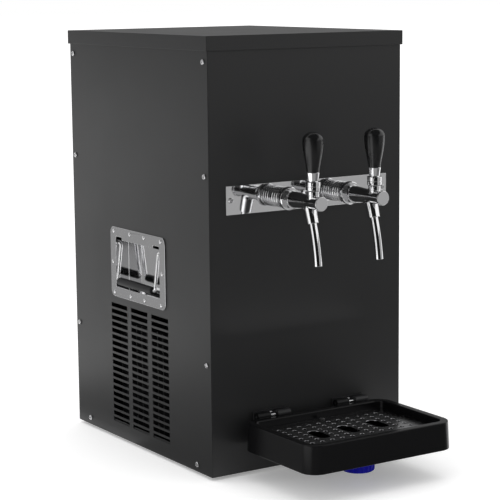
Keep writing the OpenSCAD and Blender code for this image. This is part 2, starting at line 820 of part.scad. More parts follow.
// The suction pipe, the liquid pipe with its drier, and the discharge pipe
module refrigerant_lines() color([0.72, 0.45, 0.25]) {
    evap_low = cavity_floor + pipe_up;
    rise = shelf_low - 4 * pipe_r;
    tube_end = cond_w / 2 + tube_out + hole_gap;
    drier_y = tube_end + 5 * pipe_r;
    drier_x = cond_x + cond_t / 4;
    hot_x = cond_x - cond_t / 4;
    hot_y = comp_y + comp_r * 0.7;
    hot_z = cond_low + cond_tubes[1][1];
    hot_end = comp_x - sqrt(comp_r * comp_r - pow(comp_r * 0.7 - pipe_r, 2)) - hole_gap;
    near = max(0, norm([pipe_x - comp_x, pipe_y - comp_y]) - pipe_r);
    suction_low = comp_low + dome_top(near) + hole_gap;
    bent_bar([[pipe_x, pipe_y, suction_low], [pipe_x, pipe_y, evap_low]], pipe_r, pipe_bend);
    bent_bar([[drier_x, tube_end, fan_z], [drier_x, drier_y, fan_z], [drier_x, drier_y, rise],
        [-pipe_x, drier_y, rise], [-pipe_x, pipe_y, rise], [-pipe_x, pipe_y, evap_low]], pipe_r, pipe_bend);
    translate([drier_x, drier_y, fan_z + drier_up]) cylinder(r = drier_r, h = drier_l);
    bent_bar([[hot_x, tube_end, hot_z], [hot_x, hot_y, hot_z], [hot_end, hot_y, hot_z]], pipe_r, pipe_bend);
}

// A round beer hose along the given direction, with its bore
module beer_line(l) {
    difference() {
        cylinder(r = line_r, h = l);
        translate([0, 0, -eps]) cylinder(r = line_r - line_wall, h = l + 2 * eps);
    }
}

module beer_lines() color([0.8, 0.85, 0.9]) for (s = [-1, 1]) {
    front_start = box_y - line_stop;
    back_start = box_y + line_stop;
    translate([s * tap_gap / 2, front_start, tap_height]) forward()
        beer_line(front_start - (y_front + shank_tail));
    translate([s * tap_gap / 2, back_start, inlet_height]) backward()
        beer_line(y_in - inlet_nut - inlet_tail - back_start);
}

// Back fittings

inlet_thread = 7;
inlet_nut = 8;
inlet_r = 11;
inlet_l = 16;
inlet_tail = 6;
inlet_flange = 5;
inlet_step = 1.5;

module beer_inlets() color(plastic) for (s = [-1, 1])
    translate([s * tap_gap / 2, y_back, inlet_height]) backward() difference() {
        back = -sheet - inlet_nut;
        waist = inlet_r - inlet_step;
        union() {
            rotate_extrude() polygon([[0, 0], [inlet_r, 0], [inlet_r, inlet_flange],
                [waist, inlet_flange + inlet_step], [waist, inlet_l - 2 * inlet_step],
                [waist - inlet_step, inlet_l], [0, inlet_l]]);
            translate([0, 0, back - inlet_tail]) cylinder(r = inlet_thread, h = inlet_tail - back + eps);
            translate([0, 0, back]) cylinder(r = inlet_r, h = inlet_nut, $fn = 6);
        }
        translate([0, 0, inlet_l - inlet_depth]) cylinder(r = inlet_bore, h = inlet_depth + eps);
        translate([0, 0, back - inlet_tail - eps])
            cylinder(r = line_r - line_wall, h = inlet_l - back + inlet_tail);
    }

// The thermostat's box, neck and knob
stat_w = 44;
stat_d = 30;
stat_h = 38;
stat_neck = 5;
neck_l = 6;
spindle_r = 3;
skirt_l = 7;
crown_l = 9;
pointer_w = 3;

module thermostat() color([0.2, 0.2, 0.22]) translate([stat_x, y_back, stat_height]) {
    translate([0, -sheet - stat_d / 2, 0]) cube([stat_w, stat_d, stat_h], center = true);
    backward() translate([0, 0, -sheet - eps]) difference() {
        cylinder(r = stat_neck, h = sheet + eps + neck_l);
        translate([0, 0, eps]) cylinder(r = spindle_r + run_gap, h = sheet + neck_l + eps);
    }
}

// A skirted knob with a pointer rib, on its spindle
module thermostat_knob() color(plastic) translate([stat_x, y_back, stat_height]) backward() {
    difference() {
        translate([0, 0, knob_stand]) union() {
            cylinder(r = stat_r, h = skirt_l);
            translate([0, 0, skirt_l]) cylinder(r1 = stat_r - 1, r2 = stat_r - 4, h = crown_l);
        }
        translate([0, 0, -eps]) cylinder(r = stat_neck + move_gap, h = neck_l + move_gap + eps);
    }
    translate([-pointer_w / 2, -stat_r + 1, knob_stand + skirt_l])
        cube([pointer_w, stat_r - 2, crown_l + 1]);
    translate([0, 0, -sheet]) cylinder(r = spindle_r, h = sheet + knob_stand + skirt_l + 1);
}

// The mains inlet's flange, body, socket and rocker, measured from the back panel's face
mains_lip = 6;
mains_t = 3;
mains_depth = 28;
socket_w = 24;
socket_h = 17;
socket_d = 18;
socket_down = 9;
prongs = [[-7, -2], [0, 2], [7, -2]];
prong_w = 2;
prong_h = 4;
prong_back = 3;
rocker_w = 20;
rocker_h = 12;
rocker_up = 15;
rocker_gap = 1;
rocker_in = 2;
rocker_pin = 1.2;
rocker_pin_l = 2;
well_d = 11;

module mains_inlet() color(plastic) translate([-mains_x, y_back, mains_height]) difference() {
    union() {
        translate([0, mains_t / 2, 0]) cube([mains_w, mains_t, mains_h], center = true);
        translate([0, -mains_depth / 2, 0])
            cube([mains_w - 2 * mains_lip, mains_depth, mains_h - 2 * mains_lip], center = true);
    }
    // The socket for a mains lead, with its three flat prongs left standing
    translate([0, -socket_d, -socket_down]) difference() {
        translate([-socket_w / 2, 0, -socket_h / 2]) cube([socket_w, socket_d + mains_t + eps, socket_h]);
        for (p = prongs) translate([p[0] - prong_w / 2, -eps, p[1] - prong_h / 2])
            cube([prong_w, socket_d - prong_back + eps, prong_h]);
    }
    translate([-rocker_w / 2 - move_gap, -well_d, rocker_up - rocker_h / 2 - rocker_gap])
        cube([rocker_w + 2 * move_gap, well_d + mains_t + eps, rocker_h + 2 * rocker_gap]);
    translate([0, -rocker_in, rocker_up]) rotate([0, 90, 0])
        cylinder(r = rocker_pin + run_gap, h = rocker_w + 2 * (rocker_pin_l + move_gap), center = true);
}

// A paddle with a shallow V across its face, on two short pins
module mains_rocker() color([0.5, 0.05, 0.05])
    translate([-mains_x, y_back - rocker_in, mains_height + rocker_up]) rotate([rocker_tilt, 0, 0]) {
        half = rocker_h / 2;
        face = mains_t + rocker_in + 1;
        translate([-rocker_w / 2, 0, 0]) rotate([90, 0, 90]) linear_extrude(rocker_w)
            polygon([[-half, 0], [-half / 2, -half], [face, -half], [face - 1.6, 0], [face, half],
                [-half / 2, half]]);
        rotate([0, 90, 0]) cylinder(r = rocker_pin, h = rocker_w + 2 * rocker_pin_l, center = true);
    }

// Taps

module tap_plate() color(chrome) translate([0, y_front, tap_height]) forward() linear_extrude(plate_t)
    difference() {
        square([plate_w, plate_h], center = true);
        for (s = [-1, 1]) {
            translate([s * tap_gap / 2, 0]) circle(shank_r + hole_gap);
            translate([s * plate_screw_x, 0]) circle(screw_r + hole_gap);
        }
    }

module front_screws() color(steel) {
    for (s = [-1, 1]) {
        translate([s * plate_screw_x, y_front - plate_t, tap_height]) forward()
            screw(screw_head_r, screw_r, screw_l);
        translate([s * hinge_gap / 2, y_front - leaf_t, hinge_z]) forward()
            screw(screw_head_r, screw_r, screw_l);
    }
}

module shanks() color(chrome) at_taps() forward() difference() {
    translate([0, 0, -shank_tail]) cylinder(r = shank_r, h = shank_tail + d_hex);
    translate([0, 0, -shank_tail - eps]) cylinder(r = shank_bore, h = shank_tail + d_hex + 2 * eps);
}

module shank_nuts() color(steel) at_taps() forward() translate([0, 0, -sheet - nut_t]) difference() {
    cylinder(r = nut_af / sqrt(3), h = nut_t, $fn = 6);
    translate([0, 0, -eps]) cylinder(r = shank_r + hole_gap, h = nut_t + 2 * eps);
}

// The collar's outline has a rounded rib for each step along it
collar_ribs = 4;
rib_depth = 1.6;
module shank_collars() color(chrome) at_taps() forward() translate([0, 0, d_collar]) rotate_extrude() {
    step = collar_l / collar_ribs;
    difference() {
        translate([shank_r + hole_gap, 0]) square([collar_r - shank_r - hole_gap, collar_l]);
        for (i = [1 : collar_ribs - 1]) translate([collar_r, i * step]) circle(rib_depth);
    }
}

module coupling_rings() color(chrome) at_taps() forward() translate([0, 0, d_ring]) rotate_extrude()
    polygon([[shank_r + hole_gap, 0], [collar_r - ring_waist, 0], [collar_r - ring_waist, ring_neck],
        [ring_r - ring_bevel, ring_neck], [ring_r, ring_neck + ring_bevel], [ring_r, ring_l - ring_bevel],
        [ring_r - ring_bevel, ring_l], [shank_r + hole_gap, ring_l]]);

// The tap's outside without its bores, grown by a fitting gap
module tap_outside(gap) {
    forward() {
        translate([0, 0, d_hex]) cylinder(r = hex_af / sqrt(3) + gap, h = hex_l, $fn = 6);
        translate([0, 0, d_cone])
            cylinder(r1 = hex_af / 2 - cone_step + gap, r2 = barrel_r + gap, h = cone_l);
        translate([0, 0, d_barrel]) cylinder(r = barrel_r + gap, h = barrel_l);
    }
}

module tap_body(side) {
    at_tap(side) difference() {
        union() {
            tap_outside(0);
            translate([0, -d_lever, 0]) cylinder(r = bonnet_r - boss_step, h = boss_top);
        }
        forward() translate([0, 0, d_hex - eps]) cylinder(r = piston_bore, h = d_cap - d_hex + 2 * eps);
        translate([0, -d_lever, 0]) cylinder(r = ball_r + ball_gap, h = boss_top + eps);
        translate([0, -d_spout, 0]) rotate([180 - sleeve_lean, 0, 0])
            cylinder(r = spout_r - spout_wall, h = 2 * barrel_r);
    }
}

module left_tap_body() color(chrome) tap_body(-1);

module right_tap_body() color(chrome) tap_body(1);

module front_caps() color(chrome) at_taps() forward() translate([0, 0, d_cap]) rotate_extrude()
    polygon([[0, -spigot_l], [piston_bore - hole_gap, -spigot_l], [piston_bore - hole_gap, 0], [cap_r, 0],
        [cap_r, cap_l - edge], [cap_r - edge, cap_l], [0, cap_l]]);

// The nut that holds the lever's ball, with a round seat inside
module bonnet_nuts() color(chrome) at_taps() translate([0, -d_lever, 0]) rotate_extrude() difference() {
    union() {
        translate([0, boss_top]) square([bonnet_r, bonnet_top - boss_top - edge]);
        translate([0, boss_top]) square([bonnet_r - edge, bonnet_top - boss_top]);
    }
    translate([0, ball_up]) circle(ball_r + ball_gap);
}

// A sleeve that leans forward under the tap, then a tube that bends back towards the vertical
module spout(side) {
    turn_r = spout_l * 180 / (PI * spout_bend);
    at_tap(side) difference() {
        translate([0, -d_spout, 0]) rotate([180 - sleeve_lean, 0, 0]) difference() {
            union() {
                cylinder(r1 = sleeve_r + sleeve_taper, r2 = sleeve_r - sleeve_taper, h = sleeve_l);
                translate([0, 0, sleeve_l]) spout_turn(turn_r, spout_r);
            }
            translate([0, 0, -eps]) cylinder(r = spout_r - spout_wall, h = sleeve_l + eps);
            translate([0, 0, sleeve_l]) spout_turn(turn_r, spout_r - spout_wall);
        }
        tap_outside(hole_gap);
    }
}

// An arc of round bar that leaves along +Z and bends towards -Y
module spout_turn(turn_r, r) {
    translate([0, -turn_r, 0]) rotate([90, 0, 90]) rotate_extrude(angle = spout_bend)
        translate([turn_r, 0]) circle(r);
}

module left_spout() color(chrome) spout(-1);

module right_spout() color(chrome) spout(1);

// The turned lever: a finger in the piston's saddle, a ball in its seat, a ring and a cone
module lever(side) {
    at_tap(side) translate([0, -d_lever, 0]) {
        sphere(finger_r);
        cylinder(r = finger_r, h = ball_up);
        translate([0, 0, ball_up]) sphere(ball_r);
        translate([0, 0, ball_up]) cylinder(r = neck_r, h = ferrule_z - ball_up);
        rotate_extrude() polygon([[0, lever_ring], [bonnet_r - edge, lever_ring],
            [bonnet_r, lever_ring + edge], [bonnet_r, ferrule_z - edge], [bonnet_r - edge, ferrule_z],
            [0, ferrule_z]]);
        translate([0, 0, ferrule_z]) cylinder(r1 = ferrule_r * 0.72, r2 = ferrule_r, h = ferrule_l);
    }
}

module left_lever() color(chrome) lever(-1);

module right_lever() color(chrome) lever(1);

// The knob swells from the cone's top to its widest point along half a cosine, and is domed above it
knob_dome = knob_r * 0.78;
knob_swell = knob_l - knob_dome;
knob_steps = 10;
function knob_side(t) =
    [ferrule_r + (knob_r - ferrule_r) * (1 - cos(180 * pow(t, 0.8))) / 2, knob_swell * t];
function knob_top(t) = [knob_r * cos(90 * t), knob_swell + knob_dome * sin(90 * t)];

module knob(side) {
    at_tap(side) translate([0, -d_lever, knob_z]) rotate_extrude() polygon(concat(
        [[0, 0]],
        [for (i = [0 : knob_steps]) knob_side(i / knob_steps)],
        [for (i = [1 : knob_steps - 1]) knob_top(i / knob_steps)],
        [[0, knob_l]]));
}

module left_knob() color(plastic) knob(-1);

module right_knob() color(plastic) knob(1);

// The valve's piston: two lands in the bore, and a saddle cut for the lever's finger
module piston(side) {
    at_tap(side) translate([0, -d_lever, 0]) difference() {
        forward() translate([0, 0, -piston_back]) rotate_extrude() difference() {
            square([piston_bore - run_gap, piston_back + piston_front]);
            translate([piston_bore, seal_at]) square([2 * seal_d, seal_w], center = true);
            translate([piston_bore, waist_at]) square([2 * waist_d, waist_w], center = true);
        }
        translate([-piston_bore, -saddle, -saddle]) cube([2 * piston_bore, 2 * saddle, 3 * saddle]);
        translate([-piston_bore, -saddle - saddle_front, saddle / 2])
            cube([2 * piston_bore, 2 * saddle + saddle_front + saddle_back, 3 * saddle]);
    }
}

module left_piston() color(steel) piston(-1);

module right_piston() color(steel) piston(1);

// Drip tray

// A rounded slice of the tray's outside, at a height and set in from the foot's outline
module tray_slice(z, inset, r) {
    translate([0, tray_mid, z]) linear_extrude(slice_t)
        rounded_plate(tray_w - 2 * inset, tray_d - 2 * inset, r);
}

// The moulding's outside, set in by a wall, up to a height below the rim
module tray_block(inset, top) {
    r = tray_corner - inset;
    hull() {
        tray_slice(tray_low - (inset > 0 ? eps : 0), inset, r);
        tray_slice(top - rim_round, inset + tray_draft, r);
        tray_slice(top - rim_round * 0.3, inset + tray_draft + rim_round * 0.3, r);
        tray_slice(top - slice_t, inset + tray_draft + rim_round, r);
    }
}

// A straight-walled block the size of the opening, grown all round
module opening_block(grow, low, high) {
    translate([0, tray_mid, low]) linear_extrude(high - low)
        rounded_plate(opening_w + 2 * grow, opening_d + 2 * grow, opening_corner + grow);
}

// The tray's halves of the hinges: a barrel on a foot that runs into the rim
module tray_knuckles() {
    reach = tray_gap - hinge_out + tray_draft + rim_w / 2;
    for (s = [-1, 1]) translate([s * hinge_gap / 2 - hinge_half, hinge_y, hinge_z]) {
        rotate([0, 90, 0]) cylinder(r = knuckle_r, h = knuckle_l);
        translate([0, -reach, -hinge_up - tray_wall]) cube([knuckle_l, reach, tray_wall]);
    }
}

// The room in the rim in which the fixed halves of the hinges sit, grown all round
module hinge_room(grow) {
    start = hinge_free / 2 - 1 + grow;
    for (s = [-1, 1]) translate([s * hinge_gap / 2 - start, hinge_y, hinge_z]) rotate([0, 90, 0])
        cylinder(r = knuckle_r + move_gap + grow, h = start + hinge_half + move_gap + grow);
}

module drip_tray() color(plastic) difference() {
    union() {
        difference() {
            tray_block(0, rim_z);
            tray_block(tray_wall, rim_z - tray_wall);
        }
        opening_block(tray_wall, basin_floor - floor_t, rim_z - tray_wall / 2);
        intersection() {
            tray_block(0, rim_z);
            hinge_room(tray_wall);
        }
        tray_knuckles();
    }
    hinge_room(0);
    opening_block(0, grate_low, rim_z + eps);
    difference() {
        opening_block(-ledge, basin_floor, grate_low + eps);
        translate([0, tray_mid + grate_screw_y, tray_low]) cylinder(r = post_r, h = grate_low - tray_low);
    }
    translate([0, tray_mid + grate_screw_y, grate_top - grate_screw_l - hole_gap])
        cylinder(r = screw_r + hole_gap, h = grate_screw_l);
    translate([0, drain_pos, tray_low - eps]) cylinder(r = drain_bore + drain_wall + hole_gap, h = tray_h);
    for (s = [-1, 1]) translate([s * hinge_gap / 2 - hinge_half - eps, hinge_y, hinge_z]) rotate([0, 90, 0])
        cylinder(r = pin_r + run_gap, h = hinge_l);
}

// The places of the grate's small holes: square rows that keep off the ovals, the screw and the edges
hole_cols = floor((grate_w / 2 - hole_margin) / hole_pitch);
hole_rows = floor((grate_d / 2 - hole_margin) / row_pitch + 0.5);
function clear_of_ovals(x, y) = min([for (i = [-1 : 1]) max(abs(x - i * oval_gap) - oval_w / 2,
    abs(y) - oval_l / 2)]) > hole_r + 1.2;
function clear_of_screw(x, y) = norm([x, y - grate_screw_y]) > hole_r + screw_head_r + 1;
grate_holes = [for (j = [0 : 2 * hole_rows - 1], i = [-hole_cols : hole_cols])
    let (x = i * hole_pitch, y = (j - hole_rows + 0.5) * row_pitch)
    if (clear_of_ovals(x, y) && clear_of_screw(x, y)) [x, y]];

// A long hole with round ends
module oval(l, w) {
    square([w, l - w], center = true);
    for (s = [-1, 1]) translate([0, s * (l - w) / 2]) circle(w / 2);
}

module drip_grate() color([0.2, 0.2, 0.21]) translate([0, tray_mid, grate_low]) linear_extrude(grate_t)
    difference() {
        rounded_plate(grate_w, grate_d, opening_corner - move_gap);
        for (i = [-1 : 1]) translate([i * oval_gap, 0]) oval(oval_l, oval_w);
        for (p = grate_holes) translate(p) circle(hole_r);
        translate([0, grate_screw_y]) circle(screw_r + hole_gap);
    }

// The grate's screw stands in a post on the tray's floor
module grate_screw() color(steel) translate([0, tray_mid + grate_screw_y, grate_top])
    screw(screw_head_r, screw_r, grate_screw_l);

module drain_spigot() color(plastic) translate([0, drain_pos, 0]) difference() {
    union() {
        translate([0, 0, basin_floor]) cylinder(r1 = drain_flange, r2 = drain_flange - 1.5, h = flange_t);
        translate([0, 0, drain_low + drain_recess])
            cylinder(r = drain_bore + drain_wall, h = basin_floor + flange_t - drain_low - drain_recess);
    }
    translate([0, 0, drain_low]) cylinder(r = drain_bore, h = tray_h);
}

drain_low = basin_floor - floor_t - drain_nut_h;
nut_ribs = 20;

module drain_nut() color([0.05, 0.1, 0.75]) translate([0, drain_pos, drain_low]) difference() {
    linear_extrude(drain_nut_h) {
        circle(drain_nut_r);
        for (i = [0 : nut_ribs - 1]) rotate(i * 360 / nut_ribs) translate([drain_nut_r, 0]) circle(1.4);
    }
    translate([0, 0, -eps]) cylinder(r = drain_bore + drain_wall + hole_gap, h = drain_nut_h + 2 * eps);
}

module tray_bumpers() color(plastic) for (s = [-1, 1])
    translate([s * bumper_gap / 2, tray_back, tray_low + bumper_r + 3]) backward()
        cylinder(r1 = bumper_r, r2 = bumper_r - 1, h = tray_gap - move_gap);

module hinge_brackets() color(plastic) for (s = [-1, 1]) translate([s * hinge_gap / 2, y_front, hinge_z])
    difference() {
        union() {
            translate([-hinge_half, -leaf_t, -knuckle_r]) cube([hinge_l, leaf_t, 2 * knuckle_r]);
            translate([hinge_free / 2, -hinge_out, 0]) rotate([0, 90, 0])
                cylinder(r = knuckle_r, h = knuckle_l);
            translate([hinge_free / 2, -hinge_out, -web_t / 2]) cube([knuckle_l, hinge_out, web_t]);
        }
        translate([-hinge_half - eps, -hinge_out, 0]) rotate([0, 90, 0])
            cylinder(r = pin_r + run_gap, h = hinge_l + 2 * eps);
        forward() translate([0, 0, -eps]) cylinder(r = screw_r + hole_gap, h = leaf_t + 2 * eps);
    }

module hinge_pins() color(steel) for (s = [-1, 1])
    translate([s * hinge_gap / 2 - hinge_half, hinge_y, hinge_z]) rotate([0, 90, 0])
        cylinder(r = pin_r, h = hinge_l);

// Carry handles

rivet_shank = 1.6;
rivet_out = 1;

// The places of one handle's rivets on the side panel, as [y, z]
rivet_places = concat(
    [for (s = [-1, 1], y = rivet_ys, e = [-1, 1]) [e * y, dish_mid + s * rivet_row]],
    [for (e = [-1, 1]) [e * rivet_mid, dish_mid]]);

// Mirrors a shape drawn on the left side to the right
module on_side(side) {
    mirror([side > 0 ? 1 : 0, 0, 0]) children();
}

// The opening in the dish's plate: the pocket and a notch above each arm
module pocket_outline() {
    translate([-pocket_w / 2, pocket_low]) square([pocket_w, pocket_h]);
    for (s = [-1, 1]) translate([s * bail_w / 2 - notch_w / 2, pocket_up - eps])
        square([notch_w, notch_up + eps]);
}

module handle_dish(side) {
    on_side(side) difference() {
        union() {
            translate([-x_side - dish_t, 0, dish_mid]) rotate([90, 0, 90]) linear_extrude(dish_t)
                rounded_plate(dish_w, dish_h, dish_corner);
            translate([-x_side, -pocket_w / 2 - dish_t, dish_mid + pocket_low - dish_t])
                cube([pocket_d, pocket_w + 2 * dish_t, pocket_h + 2 * dish_t]);
        }
        translate([-x_side - dish_t - eps, 0, dish_mid]) rotate([90, 0, 90])
            linear_extrude(pocket_d + eps) translate([-pocket_w / 2, pocket_low])
                square([pocket_w, pocket_h]);
        translate([-x_side - dish_t - eps, 0, dish_mid]) rotate([90, 0, 90])
            linear_extrude(pivot_depth + bail_r + eps) pocket_outline();
        translate([-pivot_x, 0, pivot_z]) rotate([90, 0, 0])
            cylinder(r = bail_r + run_gap, h = pocket_w + 6 * dish_t, center = true);
        for (p = rivet_places) translate([-x_side - dish_t - eps, p[0], p[1]]) rotate([0, 90, 0])
            cylinder(r = rivet_shank + hole_gap, h = dish_t + 2 * eps);
    }
}

// The room that a handle's pocket takes up inside the cabinet
module handle_room() {
    around = dish_t + move_gap;
    translate([-x_side, -pocket_w / 2 - around, dish_mid + pocket_low - around])
        cube([pocket_d + move_gap, pocket_w + 2 * around, pocket_h + 2 * around]);
}

module left_handle_dish() color(steel) handle_dish(-1);

module right_handle_dish() color(steel) handle_dish(1);

// Hangs a shape from the left handle's pivot, leaning out as the handle does at rest
module at_pivot() {
    translate([-pivot_x, 0, pivot_z]) rotate([0, bail_lean, 0]) children();
}

// The rod is bent to a U, with its ends turned out into the dish's walls
module handle_bail(side) {
    end = pocket_w / 2 + dish_t;
    arm = bail_w / 2;
    on_side(side) at_pivot() bent_bar([[0, -end, 0], [0, -arm, 0], [0, -arm, -bail_l], [0, arm, -bail_l],
        [0, arm, 0], [0, end, 0]], bail_r, bail_bend);
}

module left_handle_bail() color(chrome) handle_bail(-1);

module right_handle_bail() color(chrome) handle_bail(1);

// A sleeve on the rod between the arms
grip_half = bail_w / 2 - bail_bend - hole_gap;
module handle_grip(side) {
    on_side(side) at_pivot() translate([0, 0, -bail_l]) rotate([90, 0, 0]) rotate_extrude()
        polygon([[bail_r + hole_gap, -grip_half], [grip_r - 1, -grip_half], [grip_r, -grip_half + 1],
            [grip_r, grip_half - 1], [grip_r - 1, grip_half], [bail_r + hole_gap, grip_half]]);
}

module left_handle_grip() color(plastic) handle_grip(-1);

module right_handle_grip() color(plastic) handle_grip(1);

module handle_rivets() color(steel) for (side = [-1, 1], p = rivet_places) on_side(side)
    translate([-x_side - dish_t, p[0], p[1]]) rotate([0, -90, 0])
        screw(rivet_r, rivet_shank, dish_t + sheet + rivet_out);

base_pan();
front_panel();
back_panel();
left_side_panel();
right_side_panel();
lid();
rubber_feet();
panel_screws();
shelf();
insulated_box();
insulated_cover();
cold_block();
evaporator_coil();
compressor();
compressor_mounts();
condenser();
fan_shroud();
fan_motor();
fan_blades();
refrigerant_lines();
beer_lines();
beer_inlets();
thermostat();
thermostat_knob();
mains_inlet();
mains_rocker();
tap_plate();
front_screws();
shanks();
shank_nuts();
shank_collars();
coupling_rings();
left_tap_body();
right_tap_body();
front_caps();
bonnet_nuts();
left_spout();
right_spout();
left_lever();
right_lever();
left_knob();
right_knob();
left_piston();
right_piston();
drip_tray();
drip_grate();
grate_screw();
drain_spigot();
drain_nut();
tray_bumpers();
hinge_brackets();
hinge_pins();
left_handle_dish();
right_handle_dish();
left_handle_bail();
right_handle_bail();
left_handle_grip();
right_handle_grip();
handle_rivets();
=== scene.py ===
"""Looks of a two-tap beer cooler, worked out over its packed construction model.

The frame gives each piece its place. The classes below add finished surfaces, finishes, light and a camera.
"""
import json
import logging
import math
from dataclasses import dataclass, field
from enum import Enum
from typing import Any, Callable, Dict, List, Mapping, Optional, Sequence, Tuple, Union

import bmesh
import bpy
import numpy as np
from mathutils import Matrix, Vector

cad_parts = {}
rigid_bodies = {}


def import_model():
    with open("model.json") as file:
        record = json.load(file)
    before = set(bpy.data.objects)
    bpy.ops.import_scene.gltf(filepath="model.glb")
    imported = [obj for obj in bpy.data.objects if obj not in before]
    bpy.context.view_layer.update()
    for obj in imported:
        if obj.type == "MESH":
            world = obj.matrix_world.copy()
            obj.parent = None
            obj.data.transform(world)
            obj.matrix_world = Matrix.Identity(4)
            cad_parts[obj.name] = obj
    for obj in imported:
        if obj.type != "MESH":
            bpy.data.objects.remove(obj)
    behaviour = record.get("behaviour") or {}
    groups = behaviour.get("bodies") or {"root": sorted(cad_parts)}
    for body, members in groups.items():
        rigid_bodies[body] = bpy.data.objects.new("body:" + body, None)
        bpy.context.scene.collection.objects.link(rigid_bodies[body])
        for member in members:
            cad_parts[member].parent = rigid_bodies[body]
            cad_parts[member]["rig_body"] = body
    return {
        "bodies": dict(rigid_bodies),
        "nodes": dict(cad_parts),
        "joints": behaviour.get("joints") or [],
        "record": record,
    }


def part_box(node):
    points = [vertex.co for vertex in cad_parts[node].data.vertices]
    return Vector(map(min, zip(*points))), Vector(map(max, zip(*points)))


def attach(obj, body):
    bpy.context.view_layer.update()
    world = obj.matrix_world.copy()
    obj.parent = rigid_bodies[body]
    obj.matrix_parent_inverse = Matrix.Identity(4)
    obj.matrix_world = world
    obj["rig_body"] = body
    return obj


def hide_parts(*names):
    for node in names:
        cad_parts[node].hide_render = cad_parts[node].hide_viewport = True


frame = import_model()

LOG = logging.getLogger("beer_cooler")
TAU = 2.0 * math.pi
WHITE = (1.0, 1.0, 1.0, 1.0)
# A millimetre, in the frame's metres
MM = 0.001
# A length that counts as none
TINY = 1e-6
# Least radius of a fillet, in millimetres, and the most that it takes of a leg
LEAST_FILLET = 0.01
LEG_SHARE = 0.49
# Points of a copied node that are closer than this are one, in metres
WELD = 2e-6
# Faces of a copied node that turn by less than this are one
FLAT = math.radians(0.5)
# Edges that turn by more than this are sharp
SHARP = math.radians(34.0)
# Widths of the broken edges of sheet metal and of moulded pieces, in metres
SHEET_EDGE = 0.0004
MOULDED_EDGE = 0.0005
# Steps across the broken edge of a moulded piece
MOULDED_STEPS = 3
# Sockets of the Mix node: its factor, its two colours and its mixed colour
MIX_FACTOR = 0
MIX_LOW = 6
MIX_HIGH = 7
MIX_COLOUR = 2
# Plane of the cards behind the object, and heights of those on the floor and overhead, in metres
BACK_WALL = 0.8
FLOOR_CARD = 0.001
CEILING = 2.6

Pair = Tuple[float, float]
Triple = Tuple[float, float, float]
Corners = Sequence[Triple]
Key = Union[int, str]
Relief = Callable[[np.ndarray, np.ndarray, np.ndarray], np.ndarray]


class Facing(Enum):
    """A direction that a piece stands out along."""

    LEFT = (-1.0, 0.0, 0.0)
    RIGHT = (1.0, 0.0, 0.0)
    FRONT = (0.0, -1.0, 0.0)
    BACK = (0.0, 1.0, 0.0)
    UP = (0.0, 0.0, 1.0)


class Side(Enum):
    """A side of the cooler, as seen from the front."""

    LEFT = "left"
    RIGHT = "right"

    def own(self, name: str) -> str:
        """Return the name of this side's own piece or node."""
        return self.value + "_" + name


class LampKind(Enum):
    """How a lamp sends out its light: from far off, or from a panel."""

    SUN = "SUN"
    AREA = "AREA"


class Grain(Enum):
    """The texture that breaks up a finish."""

    SPECKLE = "ShaderNodeTexNoise"
    CELLS = "ShaderNodeTexVoronoi"


class Sock:
    """A node's output that takes part in Python arithmetic, where each step adds a Math node."""

    def __init__(self, graph: "Graph", socket: Optional[bpy.types.NodeSocket]) -> None:
        """Wrap one output.

        Args:
            graph: The tree that the output belongs to.
            socket: The output itself, or None for a node that has none.
        """
        self.graph = graph
        self.socket = socket

    def _math(self, operation: str, first: Any, second: Any) -> "Sock":
        """Add a Math node and return its result."""
        return self.graph.add("ShaderNodeMath", {"operation": operation}, {0: first, 1: second})

    def __add__(self, other: Any) -> "Sock":
        """Add a value or another output to this one."""
        return self._math("ADD", self, other)

    def __radd__(self, other: Any) -> "Sock":
        """Add this output to a value."""
        return self._math("ADD", other, self)

    def __mul__(self, other: Any) -> "Sock":
        """Multiply this output by a value or another one."""
        return self._math("MULTIPLY", self, other)

    def __rmul__(self, other: Any) -> "Sock":
        """Multiply a value by this output."""
        return self._math("MULTIPLY", other, self)


class Graph:
    """The node tree of a material or a world."""

    def __init__(self, tree: bpy.types.NodeTree) -> None:
        """Empty a tree and keep it.

        Args:
            tree: The tree to write into.
        """
        self.tree = tree
        tree.nodes.clear()

    def add(self, kind: str, settings: Optional[Mapping[str, Any]] = None,
            sockets: Optional[Mapping[Key, Any]] = None, out: Key = 0) -> Sock:
        """Add one node.

        Args:
            kind: The node's type.
            settings: Properties of the node, set before its sockets are filled.
            sockets: A value, or a Sock to link from, for each input by name or number.
            out: The output to return.

        Returns:
            The chosen output.
        """
        node = self.tree.nodes.new(kind)
        for name, value in (settings or {}).items():
            setattr(node, name, value)
        for key, value in (sockets or {}).items():
            if isinstance(value, Sock):
                self.tree.links.new(value.socket, node.inputs[key])
            else:
                node.inputs[key].default_value = value
        return Sock(self, node.outputs[out] if len(node.outputs) else None)

    def blend(self, share: Sock, low: Triple, high: Triple) -> Sock:
        """Mix two colours by a share from 0 to 1."""
        colours = {MIX_FACTOR: share, MIX_LOW: (*low, 1.0), MIX_HIGH: (*high, 1.0)}
        return self.add("ShaderNodeMix", {"data_type": "RGBA"}, colours, MIX_COLOUR)


